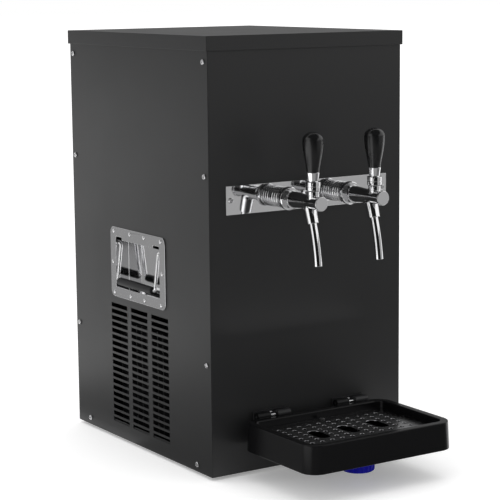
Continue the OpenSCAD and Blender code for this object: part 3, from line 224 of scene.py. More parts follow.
@dataclass(frozen=True)
class Finish:
    """How one surface looks, broken up by a fine grain and a broad unevenness.

    Attributes:
        slot: The record's material slot, which also names the material.
        colour: Base colour, in linear light.
        roughness: Middle of the roughness.
        metallic: 1 for bare metal.
        coat: Weight of a clear coat.
        level: Strength of the mirror reflection, where 0.5 is that of common plastic.
        grain: The texture of the fine grain.
        pitch: Grains in a metre.
        lay: How far the grain is stretched along X, Y and Z.
        depth: Height of the grain in metres.
        mottle: Share by which the colour varies.
        uneven: Share by which the roughness varies.
        patches: Patches of the broad unevenness in a metre.
        octaves: Finer layers in those patches.
        relief: Strength of the grain's bump.
        coat_roughness: Roughness of the clear coat.
    """

    slot: str
    colour: Triple
    roughness: float
    metallic: float = 0.0
    coat: float = 0.0
    level: float = 0.5
    grain: Grain = Grain.SPECKLE
    pitch: float = 1200.0
    lay: Triple = (1.0, 1.0, 1.0)
    depth: float = 0.00001
    mottle: float = 0.05
    uneven: float = 0.1
    patches: float = 14.0
    octaves: float = 3.0
    relief: float = 0.6
    coat_roughness: float = 0.05

    def material(self) -> bpy.types.Material:
        """Give this finish's material, which is made on the first call.

        Half the grain and half the unevenness set the place between a darker and a lighter colour. The
        unevenness alone sets the roughness, and the grain alone sets the bump.

        Returns:
            The material.
        """
        found = bpy.data.materials.get("finish_" + self.slot)
        if found:
            return found
        made = bpy.data.materials.new("finish_" + self.slot)
        made.use_nodes = True
        graph = Graph(made.node_tree)
        spot = graph.add("ShaderNodeTexCoord", out="Object")
        laid = graph.add("ShaderNodeMapping", {}, {"Vector": spot, "Scale": self.lay})
        fine = graph.add(self.grain.value, {}, {"Vector": laid, "Scale": self.pitch})
        broad = graph.add("ShaderNodeTexNoise", {},
                          {"Vector": spot, "Scale": self.patches, "Detail": self.octaves})
        mixed = fine * 0.5 + broad * 0.5
        low = tuple(c * (1.0 - self.mottle) for c in self.colour)
        high = tuple(min(1.0, c * (1.0 + self.mottle)) for c in self.colour)
        rough = broad * (2.0 * self.uneven * self.roughness) + self.roughness * (1.0 - self.uneven)
        bump = graph.add("ShaderNodeBump", {},
                         {"Strength": self.relief, "Distance": self.depth, "Height": fine})
        shader = graph.add("ShaderNodeBsdfPrincipled", {}, {
            "Base Color": graph.blend(mixed, low, high), "Roughness": rough, "Metallic": self.metallic,
            "Coat Weight": self.coat, "Coat Roughness": self.coat_roughness,
            "Specular IOR Level": self.level, "Normal": bump})
        graph.add("ShaderNodeOutputMaterial", {}, {"Surface": shader})
        return made


FINISHES: Dict[str, Finish] = {finish.slot: finish for finish in (
    Finish("cabinet_paint", (0.0112, 0.0113, 0.0118), 0.42, pitch=1500.0, depth=0.000012, mottle=0.08),
    Finish("galvanised_sheet", (0.56, 0.58, 0.60), 0.42, 1.0, grain=Grain.CELLS, pitch=120.0, mottle=0.2),
    Finish("polished_plate", (0.90, 0.90, 0.91), 0.045, 1.0, pitch=900.0, lay=(0.03, 1.0, 1.0),
           depth=0.0000008, mottle=0.02),
    Finish("tap_chrome", (0.90, 0.90, 0.91), 0.06, 1.0, pitch=500.0, depth=0.0000006, mottle=0.02),
    Finish("screw_steel", (0.74, 0.74, 0.75), 0.2, 1.0, pitch=1500.0, depth=0.000004),
    Finish("black_steel", (0.02, 0.02, 0.021), 0.3, coat=0.2, pitch=1500.0, depth=0.000004),
    Finish("piston_steel", (0.68, 0.68, 0.69), 0.25, 1.0, pitch=1500.0, depth=0.000004),
    Finish("knob_black", (0.0055, 0.0055, 0.0058), 0.27, coat=0.1, pitch=600.0, depth=0.000002),
    Finish("tray_black", (0.0036, 0.0036, 0.0040), 0.24, level=0.25, pitch=900.0, depth=0.000004),
    Finish("grate_grey", (0.44, 0.44, 0.45), 0.22, 1.0, pitch=1500.0, depth=0.000004, mottle=0.1),
    Finish("drain_blue", (0.003, 0.003, 0.32), 0.4, level=0.1, pitch=1200.0, depth=0.000006),
    Finish("fitting_black", (0.012, 0.012, 0.013), 0.34, pitch=1800.0, depth=0.000012),
    Finish("rubber_black", (0.012, 0.012, 0.012), 0.7, pitch=1800.0, depth=0.00002, mottle=0.15),
    Finish("handle_steel", (0.86, 0.86, 0.87), 0.06, 1.0, pitch=900.0, lay=(1.0, 0.04, 1.0),
           depth=0.0000012, mottle=0.02),
    Finish("bail_chrome", (0.94, 0.94, 0.95), 0.24, 1.0, pitch=500.0, depth=0.0000006, mottle=0.02),
    Finish("grip_black", (0.008, 0.008, 0.009), 0.45, level=0.25, pitch=1800.0, depth=0.00001),
    Finish("foam", (0.72, 0.66, 0.46), 0.9, grain=Grain.CELLS, pitch=900.0, depth=0.0002, mottle=0.12),
    Finish("block_aluminium", (0.70, 0.71, 0.72), 0.4, 1.0, pitch=700.0, lay=(1.0, 1.0, 0.05), depth=0.00001),
    Finish("copper", (0.72, 0.34, 0.20), 0.28, 1.0, pitch=500.0, depth=0.000004, mottle=0.12),
    Finish("compressor_black", (0.014, 0.014, 0.015), 0.3, coat=0.2, pitch=700.0, depth=0.00001),
    Finish("fan_plastic", (0.30, 0.31, 0.33), 0.45, pitch=1500.0),
    Finish("hose_clear", (0.62, 0.66, 0.62), 0.3, pitch=500.0, depth=0.000004),
    Finish("rocker_red", (0.42, 0.02, 0.018), 0.28, pitch=1500.0, depth=0.000006),
)}


def unit(vectors: np.ndarray) -> np.ndarray:
    """Scale vectors, along the last axis, to a length of 1."""
    return vectors / np.linalg.norm(vectors, axis=-1, keepdims=True)


def rounded(corners: Corners, steps: int = 5, closed: bool = False) -> np.ndarray:
    """Round the corners of a line with arcs.

    An arc of radius f touches both legs at f / tan(half the angle between them) from the corner, and its
    middle lies f / sin(that half angle) along the line that halves them. Points on the arc are weighted
    sums of its two end radii.

    Args:
        corners: Each corner's two coordinates and its fillet radius.
        steps: Pieces in each arc.
        closed: True if the last corner joins the first.

    Returns:
        Points in order, without repeats.
    """
    data = np.asarray(corners, dtype=float)
    line = data[:, :2]
    mid = line if closed else line[1:-1]
    back = np.roll(line, 1, 0) - line if closed else line[:-2] - mid
    ahead = np.roll(line, -1, 0) - line if closed else line[2:] - mid
    fillet = data[:, 2] if closed else data[1:-1, 2]
    u, v = unit(back), unit(ahead)
    half = np.arccos(np.clip((u * v).sum(1), -1.0, 1.0)) / 2.0
    leg = np.minimum(np.linalg.norm(back, axis=1), np.linalg.norm(ahead, axis=1))
    reach = np.minimum(np.maximum(fillet, LEAST_FILLET) / np.tan(half), LEG_SHARE * leg)
    radius = reach * np.tan(half)
    centre = mid + unit(u + v) * (radius / np.sin(half))[:, None]
    turn = (math.pi - 2.0 * half)[:, None, None]
    t = np.linspace(0.0, 1.0, steps + 1)[None, :, None]
    first = (mid + u * reach[:, None] - centre)[:, None, :]
    last = (mid + v * reach[:, None] - centre)[:, None, :]
    arcs = centre[:, None, :] + (np.sin((1.0 - t) * turn) * first + np.sin(t * turn) * last) / np.sin(turn)
    points = arcs.reshape(-1, 2)
    if not closed:
        points = np.vstack([line[:1], points, line[-1:]])
    keep = np.r_[True, np.linalg.norm(np.diff(points, axis=0), axis=1) > TINY]
    return points[keep]


def finer(line: np.ndarray, step: float) -> np.ndarray:
    """Split the pieces of a line that are longer than a step into equal parts.

    Args:
        line: Points in order.
        step: The longest piece that is left.

    Returns:
        The points with those between them.
    """
    gap = np.diff(line, axis=0)
    parts = np.maximum(np.ceil(np.linalg.norm(gap, axis=1) / step), 1.0).astype(int)
    place = np.arange(parts.sum()) - np.repeat(np.cumsum(parts) - parts, parts)
    run = np.repeat(gap / parts[:, None], parts, 0)
    return np.vstack([np.repeat(line[:-1], parts, 0) + run * place[:, None], line[-1:]])


@dataclass(frozen=True)
class Place:
    """A point with three square directions, in which a surface is worked out in millimetres.

    Attributes:
        origin: The point, in metres.
        axes: The directions, one in each row.
    """

    origin: np.ndarray
    axes: np.ndarray

    @classmethod
    def at(cls, origin: Sequence[float], facing: Union[Facing, Triple]) -> "Place":
        """Make a place whose third direction is given.

        Args:
            origin: The point, in metres.
            facing: The third direction.

        Returns:
            A place whose second direction is up, or +Y where the third one is upright.
        """
        out = unit(np.array(facing.value if isinstance(facing, Facing) else facing, dtype=float))
        guide = np.array((0.0, 1.0, 0.0)) if abs(out[2]) > 0.9 else np.array((0.0, 0.0, 1.0))
        across = unit(np.cross(guide, out))
        return cls(np.array(origin, dtype=float), np.stack([across, np.cross(out, across), out]))

    def world(self, local: np.ndarray) -> np.ndarray:
        """Turn local millimetres into metres in the frame."""
        return self.origin + (local * MM) @ self.axes


@dataclass
class Shell:
    """A closed surface held as arrays.

    Attributes:
        points: One row for each point, in metres.
        faces: Arrays of quads and of triangles, as rows of point numbers.
    """

    points: np.ndarray
    faces: List[np.ndarray] = field(default_factory=list)

    @classmethod
    def loft(cls, rings: np.ndarray, start: Optional[np.ndarray] = None, end: Optional[np.ndarray] = None,
             loop: bool = False) -> "Shell":
        """Skin a stack of closed rings.

        Point (i, j) makes a quad with (i, j + 1), (i + 1, j + 1) and (i + 1, j), and j wraps round.

        Args:
            rings: Points by ring, by place on the ring, by coordinate.
            start: Pole that closes the first ring, by default its middle.
            end: Pole that closes the last ring, by default its middle.
            loop: True if the last ring joins the first, so that there are no poles.

        Returns:
            The closed surface, with its faces outward.
        """
        count = rings.shape[0] * rings.shape[1]
        index = np.arange(count).reshape(rings.shape[:2])
        low = index if loop else index[:-1]
        high = np.roll(index, -1, 0) if loop else index[1:]
        quads = np.stack([low, np.roll(low, -1, 1), np.roll(high, -1, 1), high], -1).reshape(-1, 4)
        points = rings.reshape(-1, 3)
        faces = [quads]
        if not loop:
            poles = [rings[0].mean(0) if start is None else start, rings[-1].mean(0) if end is None else end]
            points = np.vstack([points, poles])
            first, last = index[0], index[-1]
            faces.append(np.stack([np.roll(first, -1), first, np.full_like(first, count)], -1))
            faces.append(np.stack([last, np.roll(last, -1), np.full_like(last, count + 1)], -1))
        return cls(points, faces).outward()

    @classmethod
    def turned(cls, place: Place, profile: np.ndarray, segments: int = 64, loop: bool = False,
               relief: Optional[Relief] = None) -> "Shell":
        """Turn a profile about a place's third direction.

        A point at radius r and height h goes round as (r cos a, r sin a, h).

        Args:
            place: Where the axis stands.
            profile: Radii and heights in millimetres.
            segments: Steps round the axis.
            loop: True if the profile is a closed line off the axis.
            relief: Changes the radius by angle, radius and height.

        Returns:
            The turned surface.
        """
        ends: List[Optional[np.ndarray]] = [None, None]
        if not loop:
            for i, row in ((0, profile[0]), (1, profile[-1])):
                if row[0] < TINY:
                    ends[i] = place.world(np.array([0.0, 0.0, row[1]]))
            profile = profile[profile[:, 0] > TINY]
        angle = np.linspace(0.0, TAU, segments, endpoint=False)[None, :]
        radius = np.repeat(profile[:, :1], segments, 1)
        height = np.repeat(profile[:, 1:], segments, 1)
        if relief:
            radius = relief(np.repeat(angle, len(profile), 0), radius, height)
        rings = np.stack([radius * np.cos(angle), radius * np.sin(angle), height], -1)
        return cls.loft(place.world(rings), ends[0], ends[1], loop)

    @classmethod
    def swept(cls, path: np.ndarray, sides: np.ndarray, plane: Triple, radii: np.ndarray,
              segments: int = 32) -> "Shell":
        """Sweep a circle along a line that lies in a plane.

        A point at angle a on the circle is the path plus r (cos a times the side plus sin a times the
        plane's direction).

        Args:
            path: Points along the line, in metres.
            sides: The direction square to the line, in its plane, at each point.
            plane: The direction square to the plane.
            radii: The circle's radius at each point, in metres.
            segments: Steps round the circle.

        Returns:
            The swept surface.
        """
        angle = np.linspace(0.0, TAU, segments, endpoint=False)[None, :, None]
        ring = np.cos(angle) * sides[:, None, :] + np.sin(angle) * np.array(plane)[None, None, :]
        return cls.loft(path[:, None, :] + radii[:, None, None] * ring)

    def outward(self) -> "Shell":
        """Turn the faces over if the volume that they enclose is negative.

        The volume is the sum, over the triangles of a fan in each face, of the triple product of their
        corners from the middle.

        Returns:
            This surface.
        """
        volume = 0.0
        middle = self.points.mean(0)
        for rows in self.faces:
            corner = self.points[rows] - middle
            for k in range(1, rows.shape[1] - 1):
                volume += np.einsum("ij,ij->", corner[:, 0], np.cross(corner[:, k], corner[:, k + 1]))
        if volume < 0.0:
            self.faces = [rows[:, ::-1] for rows in self.faces]
        return self

    def normals(self) -> np.ndarray:
        """Average the faces' directions at each point, weighted by area.

        Returns:
            One direction of length 1 for each point.
        """
        total = np.zeros_like(self.points)
        for rows in self.faces:
            corner = self.points[rows]
            cross = np.cross(corner[:, 2] - corner[:, 0], corner[:, -1] - corner[:, 1])
            np.add.at(total, rows, cross[:, None, :])
        return unit(total + TINY * TINY)

    @staticmethod
    def joined(shells: Sequence["Shell"]) -> "Shell":
        """Put several surfaces into one.

        Args:
            shells: The surfaces.

        Returns:
            One surface, in which each of them is still closed by itself.
        """
        starts = np.cumsum([0] + [len(shell.points) for shell in shells])
        faces = [rows + start for shell, start in zip(shells, starts) for rows in shell.faces]
        return Shell(np.vstack([shell.points for shell in shells]), faces)


class Workshop:
    """Makes the pieces and hands them to the frame."""

    def __init__(self, model: Mapping[str, Any]) -> None:
        """Read the frame.

        Args:
            model: What the frame's load gave.
        """
        self.nodes: Mapping[str, bpy.types.Object] = model["nodes"]
        self.slots: Dict[str, str] = {p["node"]: p["material_slot"] for p in model["record"]["subparts"]}

    def dress_all(self) -> None:
        """Give every construction node the finish of its slot."""
        for name, node in self.nodes.items():
            node.data.materials.clear()
            node.data.materials.append(FINISHES[self.slots[name]].material())

    def span(self, node: str, axis: int) -> Tuple[float, float]:
        """Return the lowest and highest coordinate of a node along an axis, in metres."""
        low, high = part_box(node)
        return low[axis], high[axis]

    def middle(self, node: str, axis: int) -> float:
        """Return the middle of a node along an axis, in metres."""
        return sum(self.span(node, axis)) / 2.0

    def islands(self, node: str) -> np.ndarray:
        """Find the boxes of a node's separate solids.

        Points at one spot, to the micrometre, share a number, and the lowest number spreads along the edges
        until it settles.

        Args:
            node: The construction node.

        Returns:
            The low and the high corner of each solid.
        """
        mesh = self.nodes[node].data
        spots = np.empty(3 * len(mesh.vertices))
        mesh.vertices.foreach_get("co", spots)
        matrix = np.array(self.nodes[node].matrix_world)
        spots = spots.reshape(-1, 3) @ matrix[:3, :3].T + matrix[:3, 3]
        edges = np.empty(2 * len(mesh.edges), dtype=int)
        mesh.edges.foreach_get("vertices", edges)
        unique, index = np.unique(np.round(spots, 6), axis=0, return_inverse=True)
        a, b = index.ravel()[edges.reshape(-1, 2)].T
        label = np.arange(len(unique))
        before = None
        while before is None or (label != before).any():
            before = label.copy()
            least = np.minimum(label[a], label[b])
            np.minimum.at(label, a, least)
            np.minimum.at(label, b, least)
            label = label[label]
        groups = [unique[label == k] for k in np.unique(label)]
        return np.array([[g.min(0), g.max(0)] for g in groups])

    def piece(self, name: str, shells: Sequence[Shell], *nodes: str) -> None:
        """Make a piece from surfaces in place of construction nodes.

        Args:
            name: The piece's name.
            shells: Its surfaces.
            nodes: The nodes that it stands for, which share a body and a finish.
        """
        shell = Shell.joined(shells)
        mesh = bpy.data.meshes.new(name)
        mesh.from_pydata(shell.points.tolist(), [], [row for rows in shell.faces for row in rows.tolist()])
        mesh.shade_smooth()
        mesh.normals_split_custom_set_from_vertices(shell.normals())
        self._settle(name, mesh, nodes)

    def softened(self, node: str, width: float, segments: int = 2) -> None:
        """Copy a node and break its sharp edges.

        Args:
            node: The node to copy and stand for.
            width: Width of the broken edge in metres.
            segments: Steps across it.
        """
        mesh = self.nodes[node].data.copy()
        mesh.transform(self.nodes[node].matrix_world)
        work = bmesh.new()
        work.from_mesh(mesh)
        bmesh.ops.remove_doubles(work, verts=work.verts, dist=WELD)
        bmesh.ops.dissolve_limit(work, angle_limit=FLAT, verts=work.verts, edges=work.edges)
        bmesh.ops.recalc_face_normals(work, faces=work.faces)
        work.to_mesh(mesh)
        work.free()
        mesh.shade_smooth()
        mesh.set_sharp_from_angle(angle=SHARP)
        made = self._settle("soft_" + node, mesh, (node,))
        bevel = made.modifiers.new("edges", "BEVEL")
        bevel.width = width
        bevel.segments = segments
        bevel.limit_method = "ANGLE"
        bevel.angle_limit = SHARP
        bevel.harden_normals = True
        bevel.use_clamp_overlap = False

    def _settle(self, name: str, mesh: bpy.types.Mesh, nodes: Sequence[str]) -> bpy.types.Object:
        """Link a mesh as an object, finish it and hand it to the frame.

        Args:
            name: The piece's name.
            mesh: Its mesh, in the frame's metres.
            nodes: The nodes that it stands for.

        Returns:
            The new object.
        """
        slot = self.slots[nodes[0]]
        mesh.materials.clear()
        mesh.materials.append(FINISHES[slot].material())
        made = bpy.data.objects.new(name, mesh)
        bpy.context.scene.collection.objects.link(made)
        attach(made, self.nodes[nodes[0]]["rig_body"])
        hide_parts(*nodes)
        LOG.info("made %s for %s", name, ", ".join(nodes))
        return made


@dataclass(frozen=True)
class PanHead:
    """The head of a screw with a cross recess, whose other sizes are shares of its radius.

    Attributes:
        radius: Radius of the head, in millimetres.
        top: Height of the head.
        crown: Radius of its flat crown.
        shoulder: Height at the crown's edge.
        fall: How far the height falls from there to the rim.
        roll: Power of the way to the rim with which it falls.
        arm: Length of the cross's arms.
        web: Half the width of the arms.
        recess: Depth of the cross.
        soft: Width of the arms' soft edges.
    """

    radius: float = 4.0
    top: float = 0.56
    crown: float = 0.72
    shoulder: float = 0.5
    fall: float = 0.3
    roll: float = 1.8
    arm: float = 0.5
    web: float = 0.13
    recess: float = 0.3
    soft: float = 0.1

    def shape(self, place: Place) -> Shell:
        """Shape the head as a height over a disc.

        The crown is a flat dome. Past it the height falls with a power of the way to the rim. The cross is
        then taken off.

        Args:
            place: The middle of the seat, facing out.

        Returns:
            The head's surface.
        """
        share = np.r_[1.0, 1.0, 0.985, 0.95, 0.9, 0.82, np.linspace(0.74, 0.04, 15)]
        past = np.clip((share - self.crown) / (1.0 - self.crown), 0.0, 1.0)
        dome = np.where(share > self.crown, self.shoulder - self.fall * past ** self.roll,
                        self.top - (self.top - self.shoulder) * (share / self.crown) ** 2)
        dome[0] = 0.0
        angle = np.linspace(0.0, TAU, 64, endpoint=False)
        u = share[:, None] * np.cos(angle)[None, :]
        v = share[:, None] * np.sin(angle)[None, :]
        height = dome[:, None] - self.recess * np.maximum(self._arms(u, v), self._arms(v, u))
        return Shell.loft(place.world(np.stack([u, v, height], -1) * self.radius))

    def _arms(self, along: np.ndarray, across: np.ndarray) -> np.ndarray:
        """Return 1 inside a pair of arms and 0 outside them, with soft edges between."""
        past = np.stack([np.abs(along) - self.arm, np.abs(across) - self.web])
        return np.clip(0.5 - past / self.soft, 0.0, 1.0).prod(0)


@dataclass(frozen=True)
class Cabinet:
    """The sheet-metal case, its feet and its screws.

    Attributes:
        lid_edge: Width of the lid's broken edges, in metres.
        screw: The screws' heads.
        foot_radii: Radii of a foot at the floor and at the case, in millimetres.
        foot_height: Height of a foot, in millimetres.
    """

    lid_edge: float = 0.0007
    screw: PanHead = PanHead()
    foot_radii: Pair = (14.0, 16.0)
    foot_height: float = 5.0

    def build(self, shop: Workshop) -> None:
        """Make the case's pieces.

        Args:
            shop: Makes and places the pieces.
        """
        for node in ("base_pan", "front_panel", "back_panel", "left_side_panel", "right_side_panel"):
            shop.softened(node, SHEET_EDGE)
        shop.softened("lid", self.lid_edge)
        low, high = self.foot_radii
        foot = rounded([(0.0, 0.0, 0.0), (low, 0.0, 0.8), (high, self.foot_height, 0.6),
                        (0.0, self.foot_height, 0.0)])
        spots = shop.islands("rubber_feet").mean(1)
        feet = [Shell.turned(Place.at((x, y, 0.0), Facing.UP), foot) for x, y, _ in spots]
        shop.piece("feet", feet, "rubber_feet")
        for node in ("panel_screws", "front_screws", "grate_screw"):
            shop.piece("heads_" + node, [self._head(box) for box in shop.islands(node)], node)

    def _head(self, box: np.ndarray) -> Shell:
        """Shape the head of the screw that fills a box.

        The screw lies along the box's longest side, with its head up or away from the cabinet's middle.

        Args:
            box: The low and the high corner, in metres.

        Returns:
            The head's surface.
        """
        axis = int(np.argmax(box[1] - box[0]))
        seat = box.mean(0)
        sign = 1.0 if axis == 2 or seat[axis] > 0.0 else -1.0
        facing = np.zeros(3)
        facing[axis] = sign
        end = box[1 if sign > 0.0 else 0][axis]
        seat[axis] = end - sign * self.screw.top * self.screw.radius * MM
        return self.screw.shape(Place.at(seat, tuple(facing)))


@dataclass(frozen=True)
class TapPart:
    """A part of one tap, measured in millimetres out of the front panel and up from the tap's axis.

    Attributes:
        side: The tap that it belongs to.
        lever_out: Distance of the lever's axis from the panel.
        ball: Radius of the lever's ball.
        ball_up: Height of the ball's middle.
        steps: Steps round the tap's axis.
        lever_steps: Steps round the lever's axis.
    """

    side: Side
    lever_out: float = 88.0
    ball: float = 6.4
    ball_up: float = 13.0
    steps: int = 96
    lever_steps: int = 72

    def axis(self, shop: Workshop) -> Place:
        """Return the place on the panel where the tap's axis starts."""
        return Place.at((shop.middle(self.side.own("tap_body"), 0), shop.span("front_panel", 1)[0],
                         shop.middle("front_caps", 2)), Facing.FRONT)

    def above(self, shop: Workshop) -> Place:
        """Return the place on the tap's axis from which the lever is measured."""
        return Place.at(self.axis(shop).world(np.array([0.0, 0.0, self.lever_out])), Facing.UP)

    def about_ball(self, radius: float, start: float, end: float, count: int) -> np.ndarray:
        """Draw an arc about the ball's middle, as (r cos a, ball_up + r sin a) between two angles."""
        angle = np.linspace(start, end, count)
        return np.stack([radius * np.cos(angle), self.ball_up + radius * np.sin(angle)], -1)


@dataclass(frozen=True)
class Shank(TapPart):
    """The ribbed collar and the coupling ring between the panel and a tap's body.

    Attributes:
        bore: Radius of the hole through both.
        radius: Radius of the collar.
        start: Start of the collar.
        end: End of the collar, where the ring starts.
        pitch: Distance between the collar's grooves.
        groove: Radius of a groove.
        lip: Length of the plain lip at each end.
        thread: Depth of the fine thread's middle on the ribs.
        thread_wave: How far the thread goes to each side of its middle.
        thread_pitch: Distance between its crests.
        waist: Radius of the ring's thin end.
        waist_end: End of the thin end.
        rim: Radius of the ring.
        rim_end: End of the ring.
        bevel: Size of the ring's bevels.
    """

    bore: float = 8.1
    radius: float = 15.0
    start: float = 2.0
    end: float = 24.0
    pitch: float = 5.5
    groove: float = 1.6
    lip: float = 1.0
    thread: float = 0.05
    thread_wave: float = 0.03
    thread_pitch: float = 1.1
    waist: float = 12.0
    waist_end: float = 27.0
    rim: float = 16.5
    rim_end: float = 34.0
    bevel: float = 1.2

    def collar(self, shop: Workshop) -> Shell:
        """Shape the ribbed collar.

        From the radius goes the depth of a half-round groove at every pitch, the root of its radius squared
        less the distance from its middle squared, or that of the fine thread, a cosine, where it is more.

        Args:
            shop: Gives the tap's place.

        Returns:
            The collar's surface.
        """
        along = np.linspace(self.start, self.end, 133)
        gap = (along - self.start + self.pitch / 2.0) % self.pitch - self.pitch / 2.0
        ribbed = (along > self.start + self.lip) & (along < self.end - self.lip)
        cut = self.groove * np.sqrt(np.clip(1.0 - (gap / self.groove) ** 2, 0.0, 1.0))
        thread = self.thread + self.thread_wave * np.cos(TAU * along / self.thread_pitch)
        outer = np.stack([self.radius - np.maximum(np.where(ribbed, cut, 0.0), thread), along], -1)
        profile = np.vstack([[(self.bore, self.start)], outer, [(self.bore, self.end)]])
        return Shell.turned(self.axis(shop), profile, self.steps, loop=True)

    def coupling(self, shop: Workshop) -> Shell:
        """Turn the coupling ring, with a thin end and two bevels.

        Args:
            shop: Gives the tap's place.

        Returns:
            The ring's surface.
        """
        shoulder = self.rim - self.bevel
        profile = rounded([(self.bore, self.end, 0.1), (self.waist, self.end, 0.2),
                           (self.waist, self.waist_end, 0.2), (shoulder, self.waist_end, 0.4),
                           (self.rim, self.waist_end + self.bevel, 0.6),
                           (self.rim, self.rim_end - self.bevel, 0.6),
                           (shoulder, self.rim_end, 0.4), (self.bore, self.rim_end, 0.1)], closed=True)
        return Shell.turned(self.axis(shop), profile, self.steps, loop=True)


@dataclass(frozen=True)
class TapBody(TapPart):
    """A tap's hexagon, cone and barrel, with its front cap and the nut that holds the lever.

    Attributes:
        start: Start of the hexagon, at the end of the coupling ring.
        flats: Width of the hexagon across its flats.
        corners: Radius of the hexagon's turned corners.
        hex_end: End of the hexagon.
        cone: Radius of the cone where it starts.
        cone_end: End of the cone.
        barrel: Radius of the barrel.
        end: End of the barrel.
        bore: Radius of the bore.
        boss: Radius of the boss that carries the nut.
        boss_span: Foot and top of the boss.
        plug: Radius of the cap's plug.
        plug_length: Length of the plug.
        cap_radius: Radius of the cap.
        cap_edge: Where the cap's face starts.
        cap_end: Where its middle ends.
        nut: Radius of the nut.
        nut_span: Foot and top of the nut.
        play: Gap between the ball and the nut's socket.
    """

    start: float = 34.0
    flats: float = 24.0
    corners: float = 13.8
    hex_end: float = 41.0
    cone: float = 11.5
    cone_end: float = 79.0
    barrel: float = 9.2
    end: float = 104.0
    bore: float = 6.6
    boss: float = 8.35
    boss_span: Pair = (3.0, 10.4)
    plug: float = 6.4
    plug_length: float = 1.0
    cap_radius: float = 10.2
    cap_edge: float = 108.5
    cap_end: float = 109.0
    nut: float = 8.75
    nut_span: Pair = (10.5, 16.0)
    play: float = 0.3

    def body(self, shop: Workshop) -> List[Shell]:
        """Turn the hexagon, cone and barrel in one, and the boss under the nut.

        Over the hexagon the radius is the lesser of the profile's and half the width across the flats
        over the cosine of the angle from the nearest flat.

        Args:
            shop: Gives the tap's place.

        Returns:
            The surfaces of the body and of the boss.
        """

        def cut(angle: np.ndarray, radius: np.ndarray, height: np.ndarray) -> np.ndarray:
            """Keep the radius within the hexagon's flats."""
            limit = self.flats / 2.0 / np.cos(angle % (math.pi / 3.0) - math.pi / 6.0)
            return np.where(height < self.hex_end, np.minimum(radius, limit), radius)

        profile = rounded([(self.bore, self.start, 0.2), (self.corners, self.start, 1.0),
                           (self.corners, self.hex_end, 1.0), (self.cone, self.hex_end + 0.05, 0.3),
                           (self.barrel, self.cone_end, 6.0), (self.barrel, self.end, 0.3),
                           (self.bore, self.end, 0.2)], closed=True)
        foot, top = self.boss_span
        boss = rounded([(0.0, foot, 0.0), (self.boss, foot, 0.3), (self.boss, top, 0.3), (0.0, top, 0.0)])
        return [Shell.turned(self.axis(shop), profile, self.steps, True, cut),
                Shell.turned(self.above(shop), boss, self.lever_steps)]

    def cap(self, shop: Workshop) -> Shell:
        """Turn the front cap, whose plug sits in the barrel.

        Args:
            shop: Gives the tap's place.

        Returns:
            The cap's surface.
        """
        root = self.end - self.plug_length
        profile = rounded([(0.0, root, 0.0), (self.plug, root, 0.1), (self.plug, self.end, 0.1),
                           (self.cap_radius, self.end, 0.4), (self.cap_radius, self.cap_edge, 0.8),
                           (0.0, self.cap_end, 0.0)])
        return Shell.turned(self.axis(shop), profile, self.steps)

    def bonnet(self, shop: Workshop) -> Shell:
        """Turn the nut that holds the lever's ball, whose socket is an arc about the ball's middle.

        Args:
            shop: Gives the tap's place.

        Returns:
            The nut's surface.
        """
        foot, top = self.nut_span
        radius = self.ball + self.play
        socket = self.about_ball(radius, math.asin((top - self.ball_up) / radius),
                                 math.asin((foot - self.ball_up) / radius), 16)
        outer = rounded([(*socket[-1], 0.0), (self.nut, foot, 0.4), (self.nut, top, 0.7), (*socket[0], 0.0)])
        profile = np.vstack([outer, socket[1:-1]])
        return Shell.turned(self.above(shop), profile, self.lever_steps, loop=True)


@dataclass(frozen=True)
class Spout(TapPart):
    """A tap's sleeve and bent tube, measured along the spout.

    Attributes:
        out: Distance of the spout's root from the panel.
        lean: Angle of the sleeve from the vertical, in degrees.
        bend: Angle by which the tube bends back, in degrees.
        root: Start of the sleeve, inside the barrel.
        root_radii: Inner and outer radius there.
        shoulder: Where the sleeve is widest.
        wide: Radius of the sleeve there.
        mouth: Radius of the sleeve at its end.
        sleeve: End of the sleeve.
        pipe: Radius of the tube.
        bore: Radius of the tube's bore.
        tube: Length of the tube.
        depth: How far the surface goes back up the bore.
        pipe_steps: Steps round the tube.
    """

    out: float = 77.5
    lean: float = 18.0
    bend: float = 12.0
    root: float = 5.5
    root_radii: Pair = (6.4, 8.0)
    shoulder: float = 9.0
    wide: float = 9.5
    mouth: float = 8.6
    sleeve: float = 31.0
    pipe: float = 5.7
    bore: float = 4.5
    tube: float = 59.0
    depth: float = 24.0
    pipe_steps: int = 48

    def shape(self, shop: Workshop) -> Shell:
        """Sweep the sleeve and the bent tube, and go a little way back up the bore.

        Past the sleeve the tube's middle follows an arc of radius tube / bend, so the direction turns by
        s / radius at a distance s along it.

        Args:
            shop: Gives the tap's place.

        Returns:
            The spout's surface.
        """
        end = self.sleeve + self.tube
        inner, outer = self.root_radii
        profile = finer(rounded([(inner, self.root, 0.1), (outer, self.root, 0.3),
                                 (self.wide, self.shoulder, 0.8), (self.mouth, self.sleeve, 0.5),
                                 (self.pipe, self.sleeve, 0.3), (self.pipe, end, 0.35),
                                 (self.bore, end, 0.35), (self.bore, end - self.depth, 0.3)]), 2.0)
        along = np.maximum(profile[:, 1] - self.sleeve, 0.0)
        straight = np.minimum(profile[:, 1], self.sleeve)
        lean = math.radians(self.lean)
        sweep = self.tube / math.radians(self.bend)
        heading = lean - along / sweep
        forward = straight * math.sin(lean) + sweep * (np.cos(heading) - math.cos(lean))
        down = straight * math.cos(lean) + sweep * (math.sin(lean) - np.sin(heading))
        axis = self.axis(shop)
        zero = np.zeros_like(forward)
        path = axis.world(np.stack([zero, -down, self.out + forward], -1))
        sides = np.stack([zero, np.sin(heading), np.cos(heading)], -1) @ axis.axes
        return Shell.swept(path, sides, Facing.RIGHT.value, profile[:, 0] * MM, self.pipe_steps)


